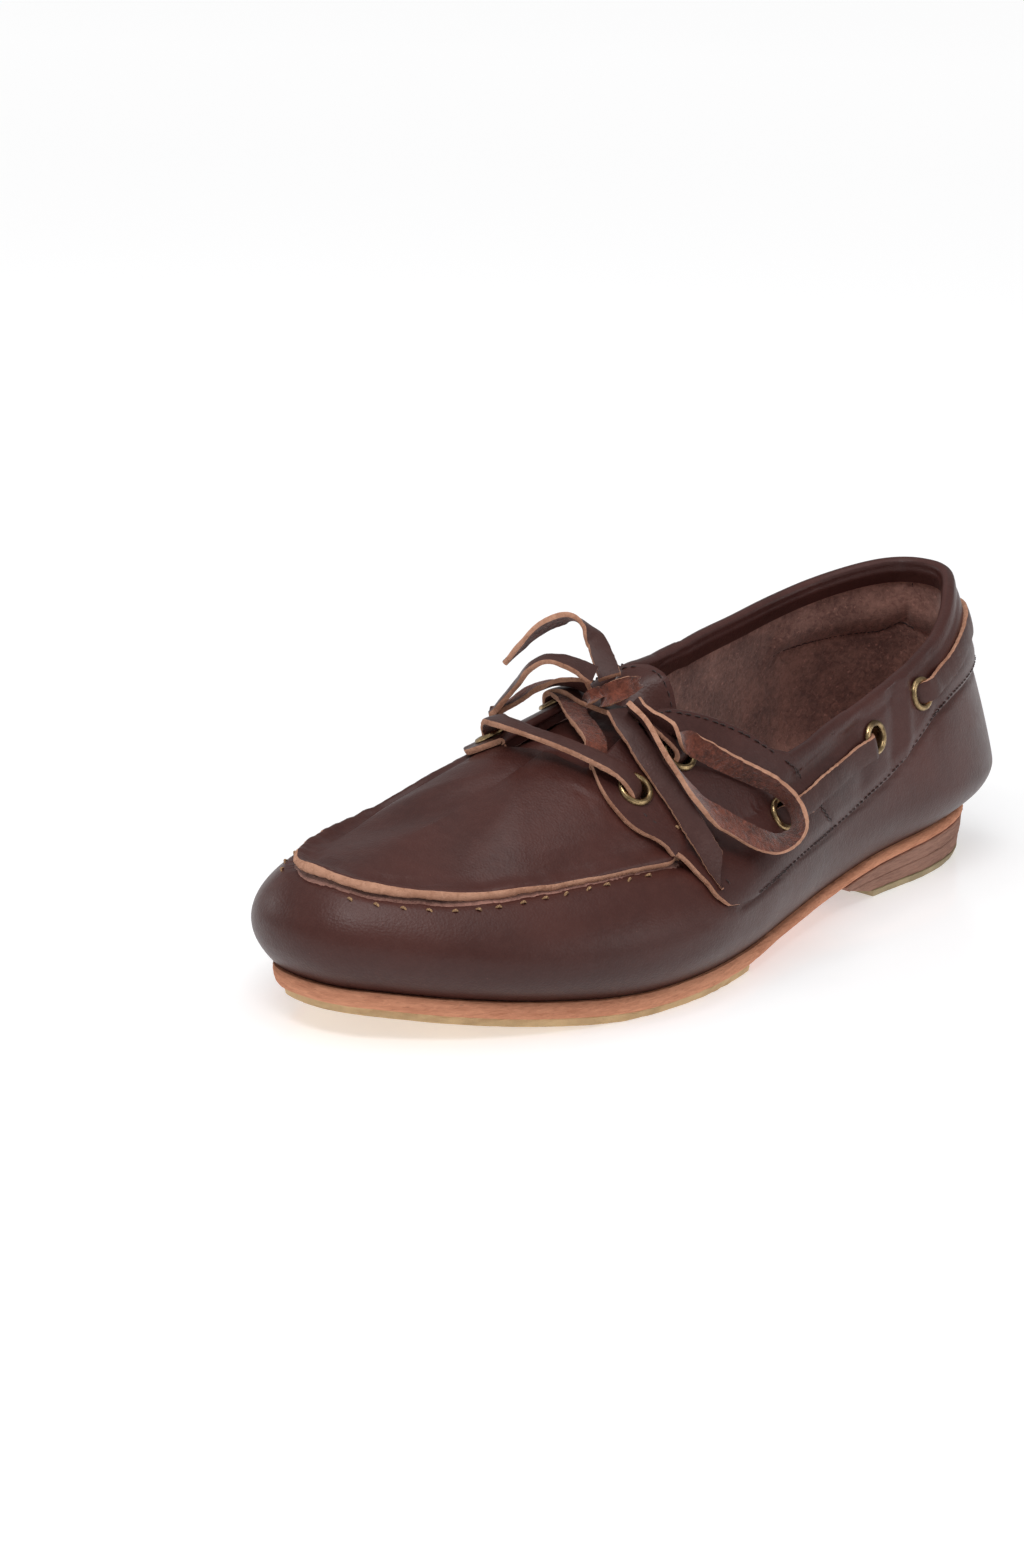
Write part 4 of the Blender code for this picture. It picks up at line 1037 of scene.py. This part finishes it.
def buildEyelets():
    # a rolled flange over a barrel, its profile of radius and height turned about the hole's axis
    flange, hole, barrel, base, rise = (eyelet[k] for k in ("flange", "hole", "barrel", "base", "rise"))
    bead = np.linspace(0, np.pi, 11)
    middle, half = (flange + hole) / 2, (flange - hole) / 2
    profile = [(middle + half * np.cos(t), base + rise * np.sin(t) ** 0.8) for t in bead]
    profile += [(hole, base - 1), (hole, -0.9), (hole + 0.15, -1.05), (barrel, -1.0), (barrel, base - 0.4)]
    boring = []
    for name, centre, axis in eyeletFrames():
        ring = turnedRing(centre, axis, profile, eyelet["around"])
        piece = newMesh(f"eyelet_{name}", ring, tubeFaces(ring, True), [finishes["brass"]],
                        weld=1e-6, sharp=60)
        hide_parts(f"eyelet_{name}")
        boring.append((centre, axis))
    return boring


def boreHoles(boring, pieces):
    # one punch of round bars, cut out of the leather under every eyelet
    bm = bmesh.new()
    for centre, axis in boring:
        tilt = Vector(axis).to_track_quat("Z", "Y").to_matrix().to_4x4()
        place = Matrix.Translation(Vector(centre + axis * eyelet["punchMiddle"] * mm)) @ tilt
        radius = eyelet["bore"] * mm
        bmesh.ops.create_cone(bm, cap_ends=True, segments=32, radius1=radius, radius2=radius,
                              depth=eyelet["punchDeep"] * mm, matrix=place)
    mesh = bpy.data.meshes.new("punch")
    bm.to_mesh(mesh)
    bm.free()
    punch = addObject("punch", mesh)
    for piece in pieces:
        bored(piece, punch)
    bpy.data.objects.remove(punch)
    bpy.data.meshes.remove(mesh)


boreHoles(buildEyelets(), (upperPiece, quarterPiece))
print("eyelets set")


# lace through the eyelets

bars = dict(
    lace_front_bar=((27.0, 179.6, 49.5), (28.6, 180.7, 54.6), (26, 183.3, 59.4), (20, 187, 62.8),
                    (11, 190.2, 65.4), (0, 192, 67), (-10, 190.8, 67.2), (-16, 187.2, 65.9),
                    (-19.3, 183.9, 62.1), (-18.5, 183.5, 57)),
    lace_crossings=((26.0, 161.2, 56.5), (28.0, 161.5, 61.8), (23.5, 163.4, 66.4), (17, 165.4, 69.7),
                    (9, 166.8, 69.6), (0, 167, 70.6), (-8, 165.4, 71.8), (-16.6, 162.8, 68.6),
                    (-15.2, 162.3, 62.5)),
)
crossing = ((14.3, 180.6, 61.6), (12.2, 178.2, 63.9), (7.5, 175.9, 66), (2, 173.6, 67.8), (-6, 168.4, 70.2),
            (-12, 164.6, 70.3))


def outOfShoe(path):
    # from a line low inside the shoe to each point of the path
    core = np.stack([np.full(len(path), heelMiddle + 2 * mm), path[:, 1], np.full(len(path), 22 * mm)], -1)
    return path - core


def buildBars():
    # the bars lie grain side out; the strand crossing under the bow shows its suede
    for name, places in bars.items():
        path = smoothPath(inSpace(places), 10)
        piece = ribbon(name.replace("lace_", "thong_"), path, outOfShoe(path), seed=len(name))
        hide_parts(name)
    path = smoothPath(inSpace(crossing), 10)
    ribbon("thong_crossing_under", path, -outOfShoe(path), seed=31)


def lyingRibbon(name, places, node, seed):
    # places are (side, from the heel, v, lift): the thong lies along the last with its grain outwards
    side, fromHeel, v, lift = np.asarray(places, float).T
    turn = turnAt(fromHeel)
    both = smoothPath(np.concatenate([onLast(turn, side, v, lift), lastNormal(turn, side, v)], 1), 10)
    piece = ribbon(name, both[:, :3], both[:, 3:], seed=seed)
    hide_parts(node)


# (mm from the front eyelet, lift): out through one eyelet, along the quarter and in through the next
sideMarks = ((1.0, -0.7), (-0.3, 1.4), (-3.5, 3.9), (-7, 3.6), (-14, 2.95), (-24, 2.9), (-35, 2.95),
             (-42, 3.5), (-45.6, 3.9), (-48.8, 1.4), (-50.1, -0.7))
# the same from the rear eyelet up on to the quarter, then (from the heel, v, lift) as far as the back
heelMarks = ((1.2, -0.7), (0, 1.5), (-3.5, 3.9))
heelRun = ((50, 0.829, 3.5), (44, 0.834, 2.95), (36, 0.84, 2.9), (26, 0.85, 2.8), (17, 0.855, 2.7),
           (10, 0.857, 2.6), (5, 0.858, 2.6), (1.5, 0.858, 2.6))


def buildSideLace():
    # one thong between two eyelets on each side, one from the rear eyelet round the heel to the other
    front, back, rear = (eyeletPlaces[k] for k in ("side_front", "side_middle", "side_rear"))
    for word, side, k in (("lateral", 1, 1), ("medial", -1, 2)):
        places = []
        for step, lift in sideMarks:
            share = np.clip(-step / (front[0] - back[0]), 0, 1)
            places.append((side, front[0] + step, front[k] + (back[k] - front[k]) * share - 0.025, lift))
        lyingRibbon(f"thong_side_{word}", places, f"side_lace_{word}", 51 + side)
    half = [(rear[0] + step, rear[1], lift) for step, lift in heelMarks] + list(heelRun)
    behind = (0, *heelRun[-1][1:])
    around = [(1, *place) for place in (*half, behind)] + [(-1, *place) for place in half[::-1]]
    lyingRibbon("thong_heel", around, "heel_lace", 61)


buildBars()
buildSideLace()
print("lace threaded")


# sole and heel

sole = dict(
    heelThick=3.3, foreThick=4.3, tread=2.4, treadIn=1.7, treadGap=0.1, treadFrom=146, treadToeIn=0.9,
    liftGap=0.12, topPiece=2.3, breast=71, liftFront=87, splitBack=8.3, splitFront=5.6,
    shankFrom=126, shankOver=26,        # where it grows thicker under the foot, mm from the heel
    toeFrom=200, innerToeFrom=218, innerToeOver=30, innerToeEnd=7, columns=260,
)


def seatZ(fromHeel):
    # height of the last's seat, mm
    return lastAt("seat", fromHeel * mm / soleLength) / mm


def outsoleBottom(fromHeel):
    # the outsole grows thicker from the heel to the ball
    fore = ease((fromHeel - sole["shankFrom"]) / sole["shankOver"])
    return seatZ(fromHeel) - sole["heelThick"] - (sole["foreThick"] - sole["heelThick"]) * fore


def liftSplit(fromHeel):
    # the slanting joint between the two lifts
    return sole["splitBack"] + (sole["splitFront"] - sole["splitBack"]) * fromHeel / sole["liftFront"]


def slab(name, profile, back, fronts, top, bottom, finish, node, toeIn=0.0, bevel=(0, 0), rough=0.08,
         seed=1):
    # a layer: the profile (out from the sole edge in mm, share of the thickness) carried round both sides,
    # closed across above and below; its cut edge is roughened along its length;
    # bevel draws it in round the inner toe, at its top and further at its bottom (mm)
    count = sole["columns"]
    share = (1 - np.cos(np.linspace(0, np.pi, count))) / 2
    side = np.concatenate([np.ones(len(profile)), -np.ones(len(profile))])[None]
    grow, level = np.concatenate([profile, profile[::-1]]).T[:, None]
    fromHeel = back + (fronts[0] + (fronts[1] - fronts[0]) * level - back) * share[:, None]
    edge, outward = soleEdge(turnAt(fromHeel), side)
    uneven = ripple(fromHeel * side + 7 * level, seed, 3, rough)
    uneven = uneven + ripple(fromHeel * side + 31 * level, seed + 1, 0.8, rough)
    length = soleLength / mm
    innerToe = ease((fromHeel - sole["innerToeFrom"]) / sole["innerToeOver"]) * (side < 0)
    innerToe = innerToe * ease((length - fromHeel) / sole["innerToeEnd"])
    innerToe = innerToe * (bevel[0] + bevel[1] * (1 - level))
    toe = ease((fromHeel - sole["toeFrom"]) / (length - sole["toeFrom"]))
    place = edge + outward * ((grow + uneven - innerToe - toeIn * toe) * mm)[..., None]
    here = (heelBack - place[..., 1]) / mm
    low = bottom(here)
    z = low + (top(here) - low) * level
    ring = np.concatenate([place, z[..., None] * mm], -1)
    size = ring.shape[1]
    across = np.arange(size // 2)
    end = np.stack([across[:-1], across[1:], size - 1 - across[1:], size - 1 - across[:-1]], -1)
    faces = np.concatenate([tubeFaces(ring), end, end + (count - 1) * size])
    piece = newMesh(name, ring, faces, [finishes[finish]], weld=2e-6, sharp=40)
    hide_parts(node)


def roundedEdge(inLow, inHigh, softLow=0.35, softHigh=0.35):
    # side of a layer with rounded corners, from its lower edge up
    t = np.linspace(0, np.pi / 2, 5)
    low = [(inLow - softLow * (1 - np.sin(a)), 0.12 * (1 - np.cos(a))) for a in t]
    high = [(inHigh - softHigh * (1 - np.cos(a)), 0.88 + 0.12 * np.sin(a)) for a in t]
    middle = [(inLow + (inHigh - inLow) * s, 0.12 + 0.76 * s) for s in (0.25, 0.5, 0.75)]
    return low + middle + high


def buildSole():
    length = soleLength / mm
    treadIn, liftFront, breast = sole["treadIn"], sole["liftFront"], sole["breast"]
    bowed = [(-abs(2 * s - 1) ** 2.4, s) for s in np.linspace(0, 1, 13)]      # rounded by 1 mm
    slab("outsoleEdge", bowed, 0, (length, length), seatZ, outsoleBottom,
         "soleEdge", "outsole", bevel=(1.0, 5.0), rough=0.07, seed=101)

    def treadTop(s):
        return outsoleBottom(s) - sole["treadGap"]

    def treadBottom(s):
        return np.maximum(treadTop(s) - sole["tread"], 0)

    slab("crepeTread", roundedEdge(-treadIn, -treadIn + 0.2, 0.6, 0.2), sole["treadFrom"], (length, length),
         treadTop, treadBottom, "treadRubber", "forefoot_tread",
         toeIn=sole["treadToeIn"], bevel=(5.2, 1.5), rough=0.12, seed=103)
    slab("heelLiftUpper", roundedEdge(-0.4, -0.35), 0, (liftFront - 3, liftFront),
         lambda s: outsoleBottom(s) - sole["liftGap"], liftSplit,
         "heelEdge", "heel_lift_upper", seed=105)
    slab("heelLiftLower", roundedEdge(-1.1, -0.6), 0, (breast, liftFront - 4),
         lambda s: liftSplit(s) - sole["liftGap"],
         lambda s: np.full_like(s, sole["topPiece"] + sole["liftGap"]),
         "heelEdge", "heel_lift_lower", seed=107)
    slab("heelTopPiece", roundedEdge(-1.6, -1.0, 0.5, 0.2), 0, (breast - 3, breast - 1),
         lambda s: np.full_like(s, sole["topPiece"]), lambda s: np.zeros_like(s),
         "heelRubber", "heel_top_piece", seed=109)
    slab("insoleSock", roundedEdge(-3.9, -3.9, 0.2, 0.8), 0, (length, length),
         lambda s: seatZ(s) + 2.3, lambda s: seatZ(s) + 0.3,
         "lining", "insole", seed=111)


buildSole()
print("sole layers built")


# stitches

stitch = dict(long=2.2, thick=0.5, pitch=2.7, tight=2.3, wander=0.12, around=6, rows=7)
mocStitch = dict(long=1.9, thick=0.75, pitch=6.3, tackPitch=3.0, slant=0.6, end=265.2)
seams = dict(        # from the heel (mm), or pairs of that and v
    throat=(165, 159, 155, 151, 147, 143, 139, 135, 131, 127.5),
    low=(3, 20, 40, 55, 70, 90, 110, 130, 150, 156),
    eyestayTop=((126, 1.075), (124, 1.04), (121.2, 1.0), (120.9, 0.924)),
    eyestayLow=((118.6, 0.84), (116.5, 0.769), (113.5, 0.67), (109.6, 0.575)),
    lining=(0.8, 4, 9.5, 18, 27, 37, 46, 50),
    heelBack=((1.2, 0.97), (1.3, 0.92), (1.6, 0.86), (2.2, 0.81)),
    tack=((176.6, 1.105), (173, 1.075), (169.3, 1.042), (165, 1.012)),
)
seamHeights = np.array((0.12, 0.25, 0.39, 0.49, 0.575, 0.66))       # shares of the quarter's front edge


def stitchMesh(name, centres, along, normals, material, long, thick):
    # every stitch is the same short grain of thread, pointed at both ends and bowed off the leather
    t = np.linspace(0, 1, stitch["rows"])
    around = np.arange(stitch["around"]) * np.pi / 3
    radius = thick / 2 * np.sqrt(np.clip(np.sin(np.pi * (0.04 + 0.92 * t)), 0, 1))
    bow = thick * (np.sin(np.pi * t) - 0.5)
    x = (t - 0.5) * long
    grain = np.stack(np.broadcast_arrays(x[:, None], radius[:, None] * np.cos(around),
                                         bow[:, None] + radius[:, None] * np.sin(around)), -1)
    local = grain.reshape(-1, 3) * mm
    basis = np.stack([along, np.cross(along, normals), normals], 1)
    points = centres[:, None] + np.einsum("pk,nkj->npj", local, basis)
    cap = np.array([[0, 1, 2, 3], [0, 3, 4, 5]])
    one = np.concatenate([tubeFaces(grain), cap, cap + len(local) - stitch["around"]])
    faces = (one[None] + (np.arange(len(centres)) * len(local))[:, None, None]).reshape(-1, 4)
    return newMesh(name, points, faces, [material], weld=1e-7, sharp=60)


def seamLine(side, fromHeel, v, lift, pitch, seed):
    # places on one side joined by a smooth line, cut at even steps with a little hand wander;
    # lift is in mm, or a function of the place
    fine = smoothPath(np.stack([fromHeel, np.asarray(v) * 60], 1), 40)
    s, w, sides = fine[:, 0], fine[:, 1] / 60, np.full(len(fine), float(side))
    points = onLast(turnAt(s), sides, w, lift(s, sides, w) if callable(lift) else np.full(len(s), lift))
    length = lengthAlong(points) / mm
    even = np.arange(pitch, length[-1] - pitch / 2, pitch)
    wander = stitch["wander"]
    even = even + np.random.default_rng(seed).uniform(-wander, wander, len(even)) * pitch

    def pointAt(distance):
        return np.stack([np.interp(distance, length, points[:, k]) for k in range(3)], -1)

    stops, rises = (np.interp(even, length, fine[:, k]) for k in (0, 1))
    normals = lastNormal(turnAt(stops), float(side), rises / 60)
    return pointAt(even), unit(pointAt(even + 0.4) - pointAt(even - 0.4)), normals


def sideSeams(side):
    # dark thread: throat edge, lower edge, both parts of the eyestay, front edge, tongue, lining
    outside = quarter["gap"] + quarter["thick"]
    tight = stitch["tight"]
    s = np.array(seams["throat"])
    v = topLine(s, side)
    v = v - 2.1 / millimetresPerV(turnAt(s), side, v - 0.03)
    yield seamLine(side, s, v, outside + 0.15, stitch["pitch"], 5 + side)
    s = np.array(seams["low"])
    yield seamLine(side, s, lowLine(s) + 0.012, outside - 0.75, tight, 15 + side)
    yield seamLine(side, *np.transpose(seams["eyestayTop"]), outside, tight, 25 + side)
    yield seamLine(side, *np.transpose(seams["eyestayLow"]), outside, tight, 27 + side)
    start = lowLine(172.0)
    yield seamLine(side, frontLine(seamHeights) * 0.973 - 1.2, start + seamHeights * (1.6 - start),
                   outside - 0.1, 3.4, 31 + side)
    v = np.linspace(1.975, 1.56, 9)
    span = tongueRound(side)
    within = 1 - ((2 - v) / (tongue["reach"] - 0.035)) ** 1.25
    yield seamLine(side, tongue["start"] + span - (span - 1.7) * within ** (2 / 3), v, tongueLift,
                   stitch["pitch"], 45 + side)
    v = np.interp(seams["lining"], liningSeam["fromHeel"], liningSeam["v"])
    yield seamLine(side, seams["lining"], v, -lining["skin"], 2.4, 61 + side)


def mocSeams():
    # the tan thread: along the foot of the lip on both sides, then the tack at its outer end
    for side, start in ((1, 183), (-1, 190)):
        s = np.linspace(start, mocStitch["end"], 11)
        drop = 3.6 + 1.4 * ease((s - 205) / 40)
        v = 1 - drop / millimetresPerV(turnAt(s), side, 0.9)
        yield seamLine(side, s, v, 0.1, mocStitch["pitch"], 35 + side)
    yield seamLine(1, *np.transpose(seams["tack"]), quarter["gap"] + quarter["thick"] + 0.1,
                   mocStitch["tackPitch"], 51)


def buildStitches():
    # dark thread along the quarter's edges and seams, tan thread in the moccasin seam
    lines = [*sideSeams(1), *sideSeams(-1)]
    lines.append(seamLine(-1, *np.transpose(seams["heelBack"]), -1.7, 2.2, 67))
    centre, along, normals = (np.concatenate(part) for part in zip(*lines))
    stitchMesh("quarterStitches", centre, along, normals, finishes["darkThread"],
               stitch["long"], stitch["thick"])
    centre, along, normals = (np.concatenate(part) for part in zip(*mocSeams()))
    slant = np.random.default_rng(8).uniform(-mocStitch["slant"], mocStitch["slant"], (len(along), 1))
    slanted = unit(along * 0.9 + np.cross(normals, along) * slant)
    stitchMesh("seamStitches", centre, slanted, normals, finishes["tanThread"],
               mocStitch["long"], mocStitch["thick"])


buildStitches()
print("stitches sewn")


# floor and light

lamps = dict(
    softboxAbove=dict(place=(0.05, -0.2, 1.3), aim=(0, 0, 0.03), size=(1.1, 0.8), power=5.0),
    stripAbove=dict(place=(0.26, -0.66, 1.10), aim=(0, 0, 0.03), size=(0.7, 0.22), power=5.0),
    softboxFront=dict(place=(-1.3, -0.5, 0.42), aim=(0, -0.06, 0.03), size=(0.7, 0.35), power=1.6),
    softboxSide=dict(place=(1.5, 0.55, 0.65), aim=(0, 0.03, 0.04), size=(0.9, 0.7), power=4.0),
)
sky = 0.36      # strength of the white world


def addFloor():
    # a wide white table top
    bm = bmesh.new()
    bmesh.ops.create_grid(bm, x_segments=8, y_segments=8, size=30)
    mesh = bpy.data.meshes.new("floor")
    bm.to_mesh(mesh)
    bm.free()
    floor = addObject("floor", mesh)
    material, tree, shader, place = newFinish("whiteTable")
    # a faint glow, weaker near the middle where the lamps reach
    away = addNode(tree, "ShaderNodeVectorMath", Vector=place)
    away.operation = "LENGTH"
    glow = ramp(tree, away.outputs["Value"], [(0.22, 0.43), (0.80, 0.64)])
    setInputs(tree, shader, Base_Color=(0.80, 0.80, 0.81, 1), Roughness=0.16, Specular_IOR_Level=0.4,
              Emission_Color=(1, 1, 1, 1), Emission_Strength=glow)
    mesh.materials.append(material)


def addLight(name, place, aim, size, power):
    # an oblong softbox turned to face the point it aims at
    light = bpy.data.lights.new(name, "AREA")
    light.shape = "RECTANGLE"
    light.size, light.size_y = size
    light.energy = power
    lamp = addObject(name, light)
    lamp.location = place
    lamp.rotation_mode = "QUATERNION"
    lamp.rotation_quaternion = (Vector(aim) - Vector(place)).to_track_quat("-Z", "Y")


def addStudio():
    addFloor()
    for name, lamp in lamps.items():
        addLight(name, **lamp)
    world = bpy.data.worlds.new("studio")
    world.use_nodes = True
    background = world.node_tree.nodes["Background"]
    background.inputs["Color"].default_value = (1, 1, 1, 1)
    background.inputs["Strength"].default_value = sky
    bpy.context.scene.world = world
    bpy.context.scene.view_settings.view_transform = "Standard"


addStudio()
print("studio ready")
